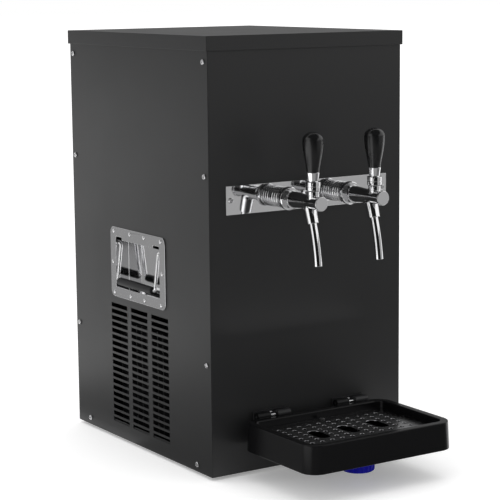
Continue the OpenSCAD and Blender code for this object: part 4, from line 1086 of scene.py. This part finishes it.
@dataclass(frozen=True)
class Lever(TapPart):
    """A tap's lever and its knob.

    Attributes:
        finger: Radius of the finger in the piston, and how far it goes below the tap's axis.
        neck: Radius of the neck above the ball.
        hollow: Radius of the skirt's hollow.
        skirt: Height of the skirt's foot.
        ring: Radius of the skirt and of the ring above it.
        ring_top: Height of the ring's top.
        groove: Height of the groove between skirt and ring.
        groove_half: Half the width of the groove.
        groove_radius: Radius of the groove's bottom.
        cone_radii: Radii of the cone at its foot and at its top.
        cone_top: Height of the cone's top.
        foot: Height of the knob's foot.
        foot_radius: Radius of the knob's foot.
        foot_edge: Width of the broken edge under it.
        wide: Height at which the knob is widest.
        wide_radius: Radius of the knob there.
        top: Height of the knob's top.
        swell: Power that sets how soon the knob swells.
    """

    finger: float = 2.2
    neck: float = 3.4
    hollow: float = 9.6
    skirt: float = 17.0
    ring: float = 10.4
    ring_top: float = 29.0
    groove: float = 22.5
    groove_half: float = 0.3
    groove_radius: float = 9.7
    cone_radii: Pair = (7.2, 9.1)
    cone_top: float = 41.9
    foot: float = 42.0
    foot_radius: float = 8.8
    foot_edge: float = 0.6
    wide: float = 85.69
    wide_radius: float = 14.5
    top: float = 97.0
    swell: float = 0.8

    def stem(self, shop: Workshop) -> Shell:
        """Turn the lever: a finger, a ball, a neck, a skirt, a ring and a flared cone.

        The ball and the skirt's hollow are arcs about the ball's middle, on which the lever tilts, so the
        hollow clears the nut at any tilt.

        Args:
            shop: Gives the tap's place.

        Returns:
            The lever's surface.
        """
        ball = self.about_ball(self.ball, -math.acos(self.finger / self.ball),
                               math.acos(self.neck / self.ball), 20)
        finger = rounded([(0.0, -self.finger, 0.0), (self.finger, -self.finger, 1.6),
                          (self.finger, ball[0][1] - 0.05, 0.0)])
        hollow = self.about_ball(self.hollow, math.acos(self.neck / self.hollow),
                                 math.asin((self.skirt - self.ball_up) / self.hollow), 12)
        upper = rounded([(*hollow[-1], 0.0), (self.ring, self.skirt, 0.7),
                         (self.ring, self.groove - self.groove_half, 0.7),
                         (self.groove_radius, self.groove, 0.1),
                         (self.ring, self.groove + self.groove_half, 0.7), (self.ring, self.ring_top, 0.8),
                         (self.cone_radii[0], self.ring_top, 0.5), (self.cone_radii[1], self.cone_top, 0.5),
                         (0.0, self.cone_top, 0.0)])
        profile = np.vstack([finger, ball, hollow[:-1], upper])
        return Shell.turned(self.above(shop), profile, self.lever_steps)

    def knob(self, shop: Workshop) -> Shell:
        """Turn the knob.

        From its foot the radius grows along half a cosine of t to the power of the swell, and a quarter of
        an ellipse closes the top.

        Args:
            shop: Gives the tap's place.

        Returns:
            The knob's surface.
        """
        t = np.linspace(0.0, 1.0, 40)[1:]
        grown = (1.0 - np.cos(math.pi * t ** self.swell)) / 2.0
        side = np.stack([self.foot_radius + (self.wide_radius - self.foot_radius) * grown,
                         self.foot + (self.wide - self.foot) * t], -1)
        q = np.linspace(0.0, 0.97, 24)[1:] * math.pi / 2.0
        dome = np.stack([self.wide_radius * np.cos(q), self.wide + (self.top - self.wide) * np.sin(q)], -1)
        edge = self.foot_edge
        base = np.array([[0.0, self.foot], [self.foot_radius - edge, self.foot],
                         [self.foot_radius - edge / 3.0, self.foot + edge / 12.0]])
        profile = np.vstack([base, side, dome, [(0.0, self.top)]])
        return Shell.turned(self.above(shop), profile, self.lever_steps)


@dataclass(frozen=True)
class TapBar:
    """The mirror plate and its two taps.

    Attributes:
        sides: The taps, in the order in which they are made.
    """

    sides: Tuple[Side, Side] = (Side.LEFT, Side.RIGHT)

    def build(self, shop: Workshop) -> None:
        """Make the plate, each tap's own pieces, and the pieces that are alike on both taps.

        Args:
            shop: Makes and places the pieces.
        """
        shop.softened("tap_plate", SHEET_EDGE)
        bodies = [TapBody(side) for side in self.sides]
        shanks = [Shank(side) for side in self.sides]
        for side, body in zip(self.sides, bodies):
            lever = Lever(side)
            shop.piece(side.own("body"), body.body(shop), side.own("tap_body"))
            shop.piece(side.own("pipe"), [Spout(side).shape(shop)], side.own("spout"))
            shop.piece(side.own("handle_stem"), [lever.stem(shop)], side.own("lever"))
            shop.piece(side.own("handle_knob"), [lever.knob(shop)], side.own("knob"))
        shop.piece("collars", [shank.collar(shop) for shank in shanks], "shank_collars")
        shop.piece("couplings", [shank.coupling(shop) for shank in shanks], "coupling_rings")
        shop.piece("caps", [body.cap(shop) for body in bodies], "front_caps")
        shop.piece("bonnets", [body.bonnet(shop) for body in bodies], "bonnet_nuts")


@dataclass(frozen=True)
class DripTray:
    """The folding tray, measured in millimetres from the middle of its foot.

    Attributes:
        half: Half the foot's width and depth.
        corner: Radius of the outer corners.
        outer: Inset up to which that radius holds.
        wall: Thickness of the wall at its foot.
        draft: How far the wall leans in on its way up to the rim.
        rim: Height of the rim.
        skin: Thickness of the rest of the moulding.
        bevel: Size of the bevel under the rim, across and down.
        opening: Inset of the opening that holds the grate.
        opening_corner: Radius of the opening's corners.
        ledge: Height of the ledge under the grate.
        basin: Inset of the basin.
        basin_corner: Radius of the basin's corners.
        floor: Height of the basin's floor.
        apron: Inset from which the floor runs in to the drain.
        seam: Height between the two ends of the moulding's outline.
        drain: Distance of the drain in front of the middle.
        hole: Radius of the drain's hole.
        quarter: Points on each quarter of the moulding's plan.
        back: Part of a right angle, to each side of straight back, that is spread along the back.
        back_points: Points along the back.
        barrel: Radius of the hinges' barrels.
        gap: Gap round the fixed halves of the hinges.
        free: Half the free length in the middle of a hinge.
        lug: Start and end of the tray's half of a hinge.
        lug_arc: Angles between which a lug is round, in degrees.
        lug_foot: Outline of a lug's foot in the rim, from the pin.
        lug_edge: Distances from a lug's end at which it is drawn in.
        lug_share: Shares of the full outline at those distances.
        nut: Radius of the drain's nut between its ribs.
        ribs: Number of ribs.
        rib: Height of a rib.
        rib_power: Power that makes the ribs full.
        rib_steps: Steps across a rib and the gap beside it.
        run_out: Length over which the ribs run out at the nut's ends.
        bumper_radii: Radii of a bumper at the tray and at its tip.
        bumper_length: Length of a bumper.
        bumper_steps: Steps round a bumper.
        grate_edge: Width of the grate's rounded edges, in metres.
    """

    half: Pair = (125.0, 86.0)
    corner: float = 23.0
    outer: float = 4.0
    wall: float = 3.0
    draft: float = 1.4
    rim: float = 40.0
    skin: float = 3.0
    bevel: Pair = (1.6, 1.5)
    opening: float = 13.4
    opening_corner: float = 11.0
    ledge: float = 27.0
    basin: float = 18.4
    basin_corner: float = 7.0
    floor: float = 8.0
    apron: float = 34.0
    seam: float = 0.05
    drain: float = 22.5
    hole: float = 10.2
    quarter: int = 10
    back: float = 0.05
    back_points: int = 90
    barrel: float = 6.0
    gap: float = 0.5
    free: float = 5.0
    lug: Pair = (0.2, 22.0)
    lug_arc: Pair = (-90.0, 196.0)
    lug_foot: Tuple[Pair, Pair, Pair] = ((-9.0, -2.2), (-9.0, -4.4), (-3.0, -5.8))
    lug_edge: Triple = (0.0, 0.2, 0.8)
    lug_share: Triple = (0.88, 0.95, 1.0)
    nut: float = 22.4
    ribs: int = 20
    rib: float = 1.4
    rib_power: float = 0.6
    rib_steps: int = 12
    run_out: float = 1.5
    bumper_radii: Pair = (6.0, 5.0)
    bumper_length: float = 11.1
    bumper_steps: int = 48
    grate_edge: float = 0.0009

    def build(self, shop: Workshop) -> None:
        """Make the tray, its grate, hinges, nut and bumpers.

        Args:
            shop: Makes and places the pieces.
        """
        shop.piece("tray", [self._moulding(shop)] + self._lugs(shop), "drip_tray")
        shop.softened("drip_grate", self.grate_edge, MOULDED_STEPS)
        shop.softened("hinge_brackets", MOULDED_EDGE, MOULDED_STEPS)
        shop.piece("drain_ring", [self._nut(shop)], "drain_nut")
        root, tip = self.bumper_radii
        bumper = rounded([(0.0, 0.0, 0.0), (root, 0.0, 0.3), (tip, self.bumper_length, 1.2),
                          (0.0, self.bumper_length, 0.0)])
        boxes = shop.islands("tray_bumpers")
        places = [Place.at((b[:, 0].mean(), b[0][1], b[:, 2].mean()), Facing.BACK) for b in boxes]
        bumpers = [Shell.turned(place, bumper, self.bumper_steps) for place in places]
        shop.piece("bumpers", bumpers, "tray_bumpers")

    def _ring(self, inset: np.ndarray, corner: np.ndarray, angle: np.ndarray) -> np.ndarray:
        """Draw rounded rectangles set in from the foot.

        Each corner is an arc about a point that lies the corner's radius in from both sides. Points whose
        angle is close to straight back lie evenly along the back.

        Args:
            inset: How far each rectangle is set in.
            corner: Corner radius of each rectangle.
            angle: The angle of each point, in right angles.

        Returns:
            Points by rectangle, by place, by coordinate across the tray.
        """
        sign = np.array([(1, 1), (-1, 1), (-1, -1), (1, -1)])[np.floor(angle).astype(int)]
        reach = (np.array(self.half)[None, :] - (inset + corner)[:, None])[:, None, :]
        turn = angle * math.pi / 2.0
        ring = reach * sign[None, :, :] + corner[:, None, None] * np.stack([np.cos(turn), np.sin(turn)], -1)
        share = (1.0 - angle) / self.back
        back = np.abs(share) < 1.0 - TINY
        edge = reach[:, :, 0] + corner[:, None] * math.cos((1.0 - self.back) * math.pi / 2.0)
        ring[:, back, 0] = (edge * share[None, :])[:, back]
        return ring

    def _moulding(self, shop: Workshop) -> Shell:
        """Shape the moulding as one closed skin.

        Rectangles follow a line up the outside, over the rim, down to the ledge and the floor, through
        the drain's round hole, and back along the underside. Heights are above the tray's foot.

        Args:
            shop: Gives the tray's place.

        Returns:
            The moulding's surface.
        """
        middle = Place.at((0.0, shop.middle("drip_grate", 1), shop.span("drip_tray", 2)[0]), Facing.UP)
        above = finer(rounded([(self.wall, 0.0, 0.0), (0.0, 0.0, 0.8), (self.draft, self.rim, 1.5),
                               (self.opening, self.rim, 2.6), (self.opening, self.ledge, 0.4),
                               (self.basin, self.ledge, 0.6), (self.basin, self.floor, 3.0),
                               (self.apron, self.floor, 0.0)]), 1.5)
        under = self.floor - self.skin
        roof = self.rim - self.skin
        inside = self.opening - self.skin
        slope = self.draft + self.skin
        below = rounded([(self.apron, under, 0.0), (inside, under, 2.0), (inside, roof, 1.0),
                         (slope + self.bevel[0], roof, 1.0), (slope, roof - self.bevel[1], 1.0),
                         (self.wall, self.seam, 0.0)])
        plan = (np.arange(4 * self.quarter) + 0.5) / self.quarter
        straight = np.linspace(1.0 - self.back, 1.0 + self.back, self.back_points + 2)[1:-1]
        angle = np.concatenate([plan[:self.quarter], straight, plan[self.quarter:]])
        rings = []
        for line in (above, below):
            corner = np.interp(line[:, 0], [0.0, self.outer, self.opening, self.basin],
                               [self.corner, self.corner, self.opening_corner, self.basin_corner])
            height = np.broadcast_to(line[:, None, 1:], (len(line), len(angle), 1))
            rings.append(np.concatenate([self._ring(line[:, 0], corner, angle), height], -1))
        turn = angle * math.pi / 2.0
        hole = np.stack([self.hole * np.cos(turn), self.hole * np.sin(turn) - self.drain], -1)
        holes = np.stack([np.c_[hole, np.full(len(hole), z)] for z in (self.floor, under)])
        skin = middle.world(np.concatenate([rings[0], holes, rings[1]]))
        return Shell.loft(self._make_room(skin, shop), loop=True)

    def _make_room(self, skin: np.ndarray, shop: Workshop) -> np.ndarray:
        """Hollow out the rim round the fixed halves of the hinges.

        A point nearer to a pin's axis than the barrel's radius and the gap is moved straight out from the
        axis to that distance.

        Args:
            skin: Points of the moulding, in metres.
            shop: Gives the pins' places.

        Returns:
            The points, moved where they need to be.
        """
        room = (self.barrel + self.gap) * MM
        for box in shop.islands("hinge_pins"):
            middle = box.mean(0)
            out = skin[..., 1:] - middle[1:]
            distance = np.linalg.norm(out, axis=-1, keepdims=True)
            start = middle[0] - self.free * MM
            end = box[1][0] + self.gap * MM
            beside = (skin[..., :1] > start) & (skin[..., :1] < end)
            scale = np.where(beside & (distance < room), room / np.maximum(distance, TINY), 1.0)
            skin = np.concatenate([skin[..., :1], middle[1:] + out * scale], -1)
        return skin

    def _lugs(self, shop: Workshop) -> List[Shell]:
        """Shape the tray's halves of the hinges.

        Each is an outline, a circle about the pin with a foot in the rim, carried along X with its end
        faces drawn in a little.

        Args:
            shop: Gives the pins' places.

        Returns:
            A surface for each hinge.
        """
        arc = np.radians(np.linspace(*self.lug_arc, 34))
        outline = np.vstack([self.barrel * np.stack([np.cos(arc), np.sin(arc)], -1), self.lug_foot])
        edge = np.array(self.lug_edge)
        along = np.r_[self.lug[0] + edge, self.lug[1] - edge[::-1]]
        share = np.r_[self.lug_share, self.lug_share[::-1]]
        places = np.broadcast_to(along[:, None, None], (len(along), len(outline), 1))
        rows = np.concatenate([outline[None] * share[:, None, None], places], -1)
        shells = []
        for box in shop.islands("hinge_pins"):
            pin = Place.at((box[0][0], box[:, 1].mean(), box[:, 2].mean()), Facing.RIGHT)
            shells.append(Shell.loft(pin.world(rows)))
        return shells

    def _nut(self, shop: Workshop) -> Shell:
        """Turn the drain's nut.

        Round its outer wall, each rib is the upper half of a cosine wave, made fuller by a power.

        Args:
            shop: Gives the nut's place.

        Returns:
            The nut's surface.
        """
        low, high = (z / MM for z in shop.span("drain_nut", 2))
        place = Place.at((0.0, shop.middle("drain_nut", 1), 0.0), Facing.UP)

        def ribbed(angle: np.ndarray, radius: np.ndarray, height: np.ndarray) -> np.ndarray:
            """Add the ribs to the outer wall, running out at its ends.

            Args:
                angle: Angle of each point round the nut.
                radius: Its radius without the ribs.
                height: Its height.

            Returns:
                Its radius with the ribs.
            """
            wave = np.clip(np.cos(self.ribs * angle), 0.0, 1.0) ** self.rib_power
            edge = np.clip(np.minimum(height - low, high - height) / self.run_out, 0.0, 1.0)
            outside = radius > (self.hole + self.nut) / 2.0
            return radius + np.where(outside, self.rib * wave * edge, 0.0)

        profile = finer(rounded([(self.hole, low, 0.3), (self.nut, low, 1.6), (self.nut, high, 1.0),
                                 (self.hole, high, 0.3)], closed=True), 2.0)
        return Shell.turned(place, profile, self.rib_steps * self.ribs, True, ribbed)


@dataclass(frozen=True)
class CarryHandle:
    """A recessed handle, measured in millimetres from its pivot.

    Attributes:
        side: The side that it is on.
        rod: Radius of the rod.
        bend: Radius of the rod's bends.
        arm: Distance of each arm from the middle.
        length: Length of the arms.
        grip: Radius of the grip at its middle.
        swell: How much less the radius is at the grip's ends.
        fit: Gap between the rod and the grip's bore.
        lean: Angle of the hanging arms from the upright, in degrees.
    """

    side: Side
    rod: float = 2.5
    bend: float = 5.0
    arm: float = 56.0
    length: float = 57.0
    grip: float = 6.0
    swell: float = 0.3
    fit: float = 0.1
    lean: float = 7.0

    def build(self, shop: Workshop) -> None:
        """Make the dish, the rod and the grip.

        Args:
            shop: Makes and places the pieces.
        """
        shop.softened(self.side.own("handle_dish"), SHEET_EDGE)
        shop.piece(self.side.own("rod"), [self._rod(shop)], self.side.own("handle_bail"))
        shop.piece(self.side.own("grip"), [self._sleeve(shop)], self.side.own("handle_grip"))

    def _pivot(self, shop: Workshop) -> Place:
        """Find the pivot.

        Args:
            shop: Gives the handle's place.

        Returns:
            The middle of the pivot, whose second direction runs up along the arms.
        """
        node = self.side.own("handle_bail")
        sign = -1.0 if self.side is Side.LEFT else 1.0
        inner = shop.span(node, 0)[1 if sign < 0.0 else 0]
        lean = math.radians(self.lean)
        return Place.at((inner + sign * self.rod * MM, 0.0, shop.span(node, 2)[1] - self.rod * MM),
                        (sign * math.cos(lean), 0.0, math.sin(lean)))

    def _rod(self, shop: Workshop) -> Shell:
        """Sweep a circle round the rod's U, with its ends turned out into the dish.

        Args:
            shop: Gives the handle's place.

        Returns:
            The rod's surface.
        """
        pivot = self._pivot(shop)
        ends = shop.span(self.side.own("handle_bail"), 1)[1] / MM
        turns = ((-self.arm, 0.0), (-self.arm, -self.length), (self.arm, -self.length), (self.arm, 0.0))
        bends = [(*turn, self.bend) for turn in turns]
        line = rounded([(-ends, 0.0, 0.0), *bends, (ends, 0.0, 0.0)], steps=10)
        flat = np.zeros(len(line))
        heading = unit(np.gradient(line, axis=0))
        sides = np.c_[-heading[:, 1], heading[:, 0], flat] @ pivot.axes
        return Shell.swept(pivot.world(np.c_[line, flat]), sides, tuple(pivot.axes[2]),
                           np.full(len(line), self.rod * MM))

    def _sleeve(self, shop: Workshop) -> Shell:
        """Turn the grip, which swells to its middle in a wide arc and has rounded ends.

        Args:
            shop: Gives the handle's place.

        Returns:
            The grip's surface.
        """
        half = shop.span(self.side.own("handle_grip"), 1)[1] / MM
        place = Place.at(self._pivot(shop).world(np.array([0.0, -self.length, 0.0])), Facing.BACK)
        inner = self.rod + self.fit
        outer = self.grip - self.swell
        profile = rounded([(inner, -half, 0.2), (outer, -half, 1.4), (self.grip, 0.0, 60.0),
                           (outer, half, 1.4), (inner, half, 0.2)], steps=8, closed=True)
        return Shell.turned(place, profile, loop=True)


@dataclass(frozen=True)
class Fittings:
    """The handles' rivets, in millimetres, and the fittings on the back.

    Attributes:
        rivet: Radius of a rivet's head.
        rim: Height of the head's upright rim.
        dome: Height of the dome above the rim.
        stand: How far a construction rivet stands out from its seat.
    """

    rivet: float = 3.2
    rim: float = 0.2
    dome: float = 0.9
    stand: float = 1.79

    def build(self, shop: Workshop) -> None:
        """Turn the rivets, each a quarter of an ellipse over a rim, and break the other fittings' edges.

        Args:
            shop: Makes and places the pieces.
        """
        turn = np.linspace(0.0, math.pi / 2.0, 9)[:-1]
        arc = np.stack([self.rivet * np.cos(turn), self.rim + self.dome * np.sin(turn)], -1)
        profile = np.vstack([[(0.0, 0.0)], arc, [(0.0, self.rim + self.dome)]])
        heads = []
        for box in shop.islands("handle_rivets"):
            right = box[0][0] > 0.0
            seat = box.mean(0)
            seat[0] = box[1][0] - self.stand * MM if right else box[0][0] + self.stand * MM
            facing = Facing.RIGHT if right else Facing.LEFT
            heads.append(Shell.turned(Place.at(seat, facing), profile, segments=32))
        shop.piece("rivet_heads", heads, "handle_rivets")
        for node in ("beer_inlets", "thermostat_knob", "mains_inlet", "mains_rocker"):
            shop.softened(node, MOULDED_EDGE, MOULDED_STEPS)


@dataclass(frozen=True)
class PhotoCamera:
    """The camera worked out from the photograph's edges.

    Attributes:
        aim: The point that it looks at, in metres.
        distance: Its distance from that point.
        azimuth: Angle round the object, in degrees.
        elevation: Angle above the horizon.
        roll: Angle by which the picture is turned.
        lens: Focal length in millimetres.
        sensor: Width of the sensor in millimetres.
        reach: How far it sees, in metres.
    """

    aim: Triple = (0.03224, 0.0, 0.28691)
    distance: float = 2.643
    azimuth: float = -32.96
    elevation: float = 8.99
    roll: float = -0.55
    lens: float = 123.05
    sensor: float = 36.0
    reach: float = 100.0

    def build(self) -> None:
        """Make the camera the scene's own."""
        turn, lift, roll = (math.radians(a) for a in (self.azimuth, self.elevation, self.roll))
        back = Vector((math.cos(lift) * math.sin(turn), -math.cos(lift) * math.cos(turn), math.sin(lift)))
        level = Vector((math.cos(turn), math.sin(turn), 0.0))
        upright = back.cross(level)
        right = level * math.cos(roll) + upright * math.sin(roll)
        up = upright * math.cos(roll) - level * math.sin(roll)
        data = bpy.data.cameras.new("photo_camera")
        data.lens = self.lens
        data.sensor_width = self.sensor
        data.clip_end = self.reach
        made = bpy.data.objects.new("photo_camera", data)
        bpy.context.scene.collection.objects.link(made)
        place = Vector(self.aim) + back * self.distance
        made.matrix_world = Matrix.Translation(place) @ Matrix((right, up, back)).transposed().to_4x4()
        bpy.context.scene.camera = made


@dataclass(frozen=True)
class Card:
    """A flat card that only mirror reflections see.

    Attributes:
        name: The card's name.
        corners: Its four corners in order, in metres.
        shade: How bright it is.
    """

    name: str
    corners: Tuple[Triple, ...]
    shade: float

    @classmethod
    def upright(cls, name: str, start: Pair, end: Pair, heights: Pair, shade: float) -> "Card":
        """Stand a card between two heights on the line from one spot to another."""
        low, high = heights
        return cls(name, ((*start, low), (*end, low), (*end, high), (*start, high)), shade)

    @classmethod
    def behind(cls, name: str, across: Pair, heights: Pair, shade: float) -> "Card":
        """Stand a card in the plane behind the object, between two values of X and two heights."""
        return cls.upright(name, (across[0], BACK_WALL), (across[1], BACK_WALL), heights, shade)

    @classmethod
    def level(cls, name: str, spots: Sequence[Pair], height: float, shade: float) -> "Card":
        """Lay a card at a height with its corners over four spots."""
        return cls(name, tuple((*spot, height) for spot in spots), shade)

    @classmethod
    def oblong(cls, name: str, across: Pair, along: Pair, height: float, shade: float) -> "Card":
        """Lay a card at a height between two values of X and two of Y."""
        spots = [(across[i], along[j]) for i, j in ((0, 0), (1, 0), (1, 1), (0, 1))]
        return cls.level(name, spots, height, shade)


@dataclass(frozen=True)
class Lamp:
    """A soft lamp that mirrors don't see.

    Attributes:
        name: The lamp's name.
        kind: How it sends out its light.
        place: Where it stands, or for a sun the direction that it comes from.
        aim: The point that a panel faces.
        power: Watts, or for a sun watts on a square metre.
        size: Width of a panel in metres, or for a sun the angle of its disc in degrees.
    """

    name: str
    kind: LampKind
    place: Triple
    aim: Triple
    power: float
    size: float

    def build(self) -> None:
        """Hang the lamp."""
        data = bpy.data.lights.new(self.name, self.kind.value)
        data.energy = self.power
        if self.kind is LampKind.SUN:
            data.angle = math.radians(self.size)
        else:
            data.size = self.size
        made = bpy.data.objects.new(self.name, data)
        made.location = self.place
        made.rotation_mode = "QUATERNION"
        made.rotation_quaternion = (Vector(self.place) - Vector(self.aim)).to_track_quat("Z", "Y")
        made.visible_glossy = False
        bpy.context.scene.collection.objects.link(made)


@dataclass(frozen=True)
class Studio:
    """A plain white studio.

    Attributes:
        ambient: Brightness of the sky for matt surfaces.
        lift: Brightness that the floor adds for the eye and for mirrors.
        half: Half the floor's width, in metres.
        paint: Darkest and lightest shade of the floor's paint.
        lamps: Soft lamps.
        cards: Cards that polished surfaces see.
    """

    ambient: float = 0.82
    lift: float = 0.25
    half: float = 30.0
    paint: Pair = (0.955, 0.965)
    lamps: Tuple[Lamp, ...] = (
        Lamp("top_light", LampKind.SUN, (0.0, 0.0, 1.0), (0.0, 0.0, 0.0), 0.7, 60.0),
        Lamp("side_light", LampKind.AREA, (-1.5, 0.9, 0.55), (-0.1, 0.15, 0.35), 7.0, 0.9),
    )
    cards: Tuple[Card, ...] = (
        Card.level("card_floor_front", ((-0.25, -0.40), (0.30, -0.40), (2.2, -0.8), (0.35, -1.6)),
                   FLOOR_CARD, 0.14),
        Card.upright("card_right", (0.35, -1.6), (2.2, -0.8), (0.0, 0.66), 0.36),
        Card.oblong("card_floor_side", (-1.1, -0.19), (-0.15, 0.42), FLOOR_CARD, 0.27),
        Card.oblong("card_floor_tray", (-0.42, -0.17), (-0.6, 0.03), 2.0 * FLOOR_CARD, 0.23),
        Card.level("card_floor_left", ((-0.5, -0.62), (-0.25, -0.40), (0.35, -1.6), (-2.3, -1.75)),
                   FLOOR_CARD, 0.27),
        Card.behind("card_back_low", (-1.1, -0.52), (0.0, 0.24), 0.29),
        Card.behind("card_back_left", (-1.1, -0.62), (0.24, 0.48), 0.5),
        Card.behind("card_back_top", (-1.1, -0.42), (0.48, 0.62), 0.4),
        Card.behind("card_back_far", (-3.6, -1.1), (0.0, 1.3), 0.2),
        Card.behind("card_back_right", (-0.25, 4.0), (0.0, 0.62), 0.3),
        Card.behind("card_back_high", (-1.1, 4.0), (0.62, 1.7), 0.42),
        Card.oblong("card_over_tray", (-0.12, 0.12), (-0.36, -0.23), 0.2, 0.46),
        Card.level("card_wedge", ((-2.3, -1.75), (0.35, -1.6), (1.4, -5.5), (-3.2, -5.5)), FLOOR_CARD, 0.01),
        Card.upright("card_left", (-2.6, -1.4), (-3.2, -5.5), (0.0, CEILING), 0.01),
        Card.upright("card_front", (-3.2, -5.5), (1.4, -5.5), (0.0, CEILING), 0.01),
        Card.level("card_ceiling", ((-3.2, -5.5), (2.0, -5.5), (2.0, BACK_WALL), (-2.4, BACK_WALL)),
                   CEILING, 0.04),
    )

    def build(self) -> None:
        """Set up the sky, the lamps, the floor and the cards."""
        self._sky()
        for lamp in self.lamps:
            lamp.build()
        wide = self.half
        floor = self._sheet("floor", ((-wide, -wide, 0.0), (wide, -wide, 0.0), (wide, wide, 0.0),
                                      (-wide, wide, 0.0)))
        floor.data.materials.append(self._pale())
        for card in self.cards:
            sheet = self._sheet(card.name, card.corners)
            sheet.data.materials.append(self._glow(card))
            sheet.visible_camera = False
            sheet.visible_diffuse = False
            sheet.visible_shadow = False
            sheet.visible_transmission = False

    def _sky(self) -> None:
        """Make the sky white to the eye and to mirrors, and dimmer to matt surfaces."""
        world = bpy.data.worlds.new("studio_sky")
        world.use_nodes = True
        bpy.context.scene.world = world
        graph = Graph(world.node_tree)
        strength = self._direct(graph) * (1.0 - self.ambient) + self.ambient
        sky = graph.add("ShaderNodeBackground", {}, {"Color": WHITE, "Strength": strength})
        graph.add("ShaderNodeOutputWorld", {}, {"Surface": sky})

    @staticmethod
    def _direct(graph: Graph) -> Sock:
        """Tell the eye, mirrors and glass from matt surfaces.

        Args:
            graph: The tree to add to.

        Returns:
            1 for the eye, mirrors and glass, and 0 for matt surfaces.
        """
        seen = graph.add("ShaderNodeLightPath", out="Is Camera Ray")
        mirrored = graph.add("ShaderNodeLightPath", out="Is Glossy Ray")
        through = graph.add("ShaderNodeLightPath", out="Is Transmission Ray")
        return seen + mirrored + through

    @staticmethod
    def _sheet(name: str, corners: Sequence[Triple]) -> bpy.types.Object:
        """Make a flat four-sided sheet.

        Args:
            name: The sheet's name.
            corners: Its four corners in order, in metres.

        Returns:
            The new object.
        """
        mesh = bpy.data.meshes.new(name)
        mesh.from_pydata(list(corners), [], [(0, 1, 2, 3)])
        made = bpy.data.objects.new(name, mesh)
        bpy.context.scene.collection.objects.link(made)
        return made

    def _pale(self) -> bpy.types.Material:
        """Make the floor's pale matt paint.

        Returns:
            The new material.
        """
        made = bpy.data.materials.new("floor_paint")
        made.use_nodes = True
        graph = Graph(made.node_tree)
        spot = graph.add("ShaderNodeTexCoord", out="Object")
        mottle = graph.add("ShaderNodeTexNoise", {}, {"Vector": spot, "Scale": 3.0, "Detail": 2.0})
        dark, light = ((shade, shade, shade) for shade in self.paint)
        shader = graph.add("ShaderNodeBsdfPrincipled", {}, {
            "Base Color": graph.blend(mottle, dark, light), "Roughness": 0.9, "Specular IOR Level": 0.0,
            "Emission Strength": self.lift,
            "Emission Color": graph.blend(self._direct(graph), (0.0, 0.0, 0.0), (1.0, 1.0, 1.0))})
        graph.add("ShaderNodeOutputMaterial", {}, {"Surface": shader})
        return made

    @staticmethod
    def _glow(card: Card) -> bpy.types.Material:
        """Make a card's plain glow.

        Args:
            card: The card, which also names the material.

        Returns:
            The new material.
        """
        made = bpy.data.materials.new(card.name)
        made.use_nodes = True
        graph = Graph(made.node_tree)
        glow = graph.add("ShaderNodeEmission", {}, {"Color": WHITE, "Strength": card.shade})
        graph.add("ShaderNodeOutputMaterial", {}, {"Surface": glow})
        return made


def main() -> None:
    """Build the looks."""
    logging.basicConfig(level=logging.INFO)
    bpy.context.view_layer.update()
    shop = Workshop(frame)
    shop.dress_all()
    parts = (Cabinet(), TapBar(), DripTray(), CarryHandle(Side.LEFT), CarryHandle(Side.RIGHT), Fittings())
    for part in parts:
        part.build(shop)
        LOG.info("built %s", type(part).__name__)
    Studio().build()
    PhotoCamera().build()
    bpy.context.scene.view_settings.view_transform = "Standard"


if __name__ == "__main__":
    main()
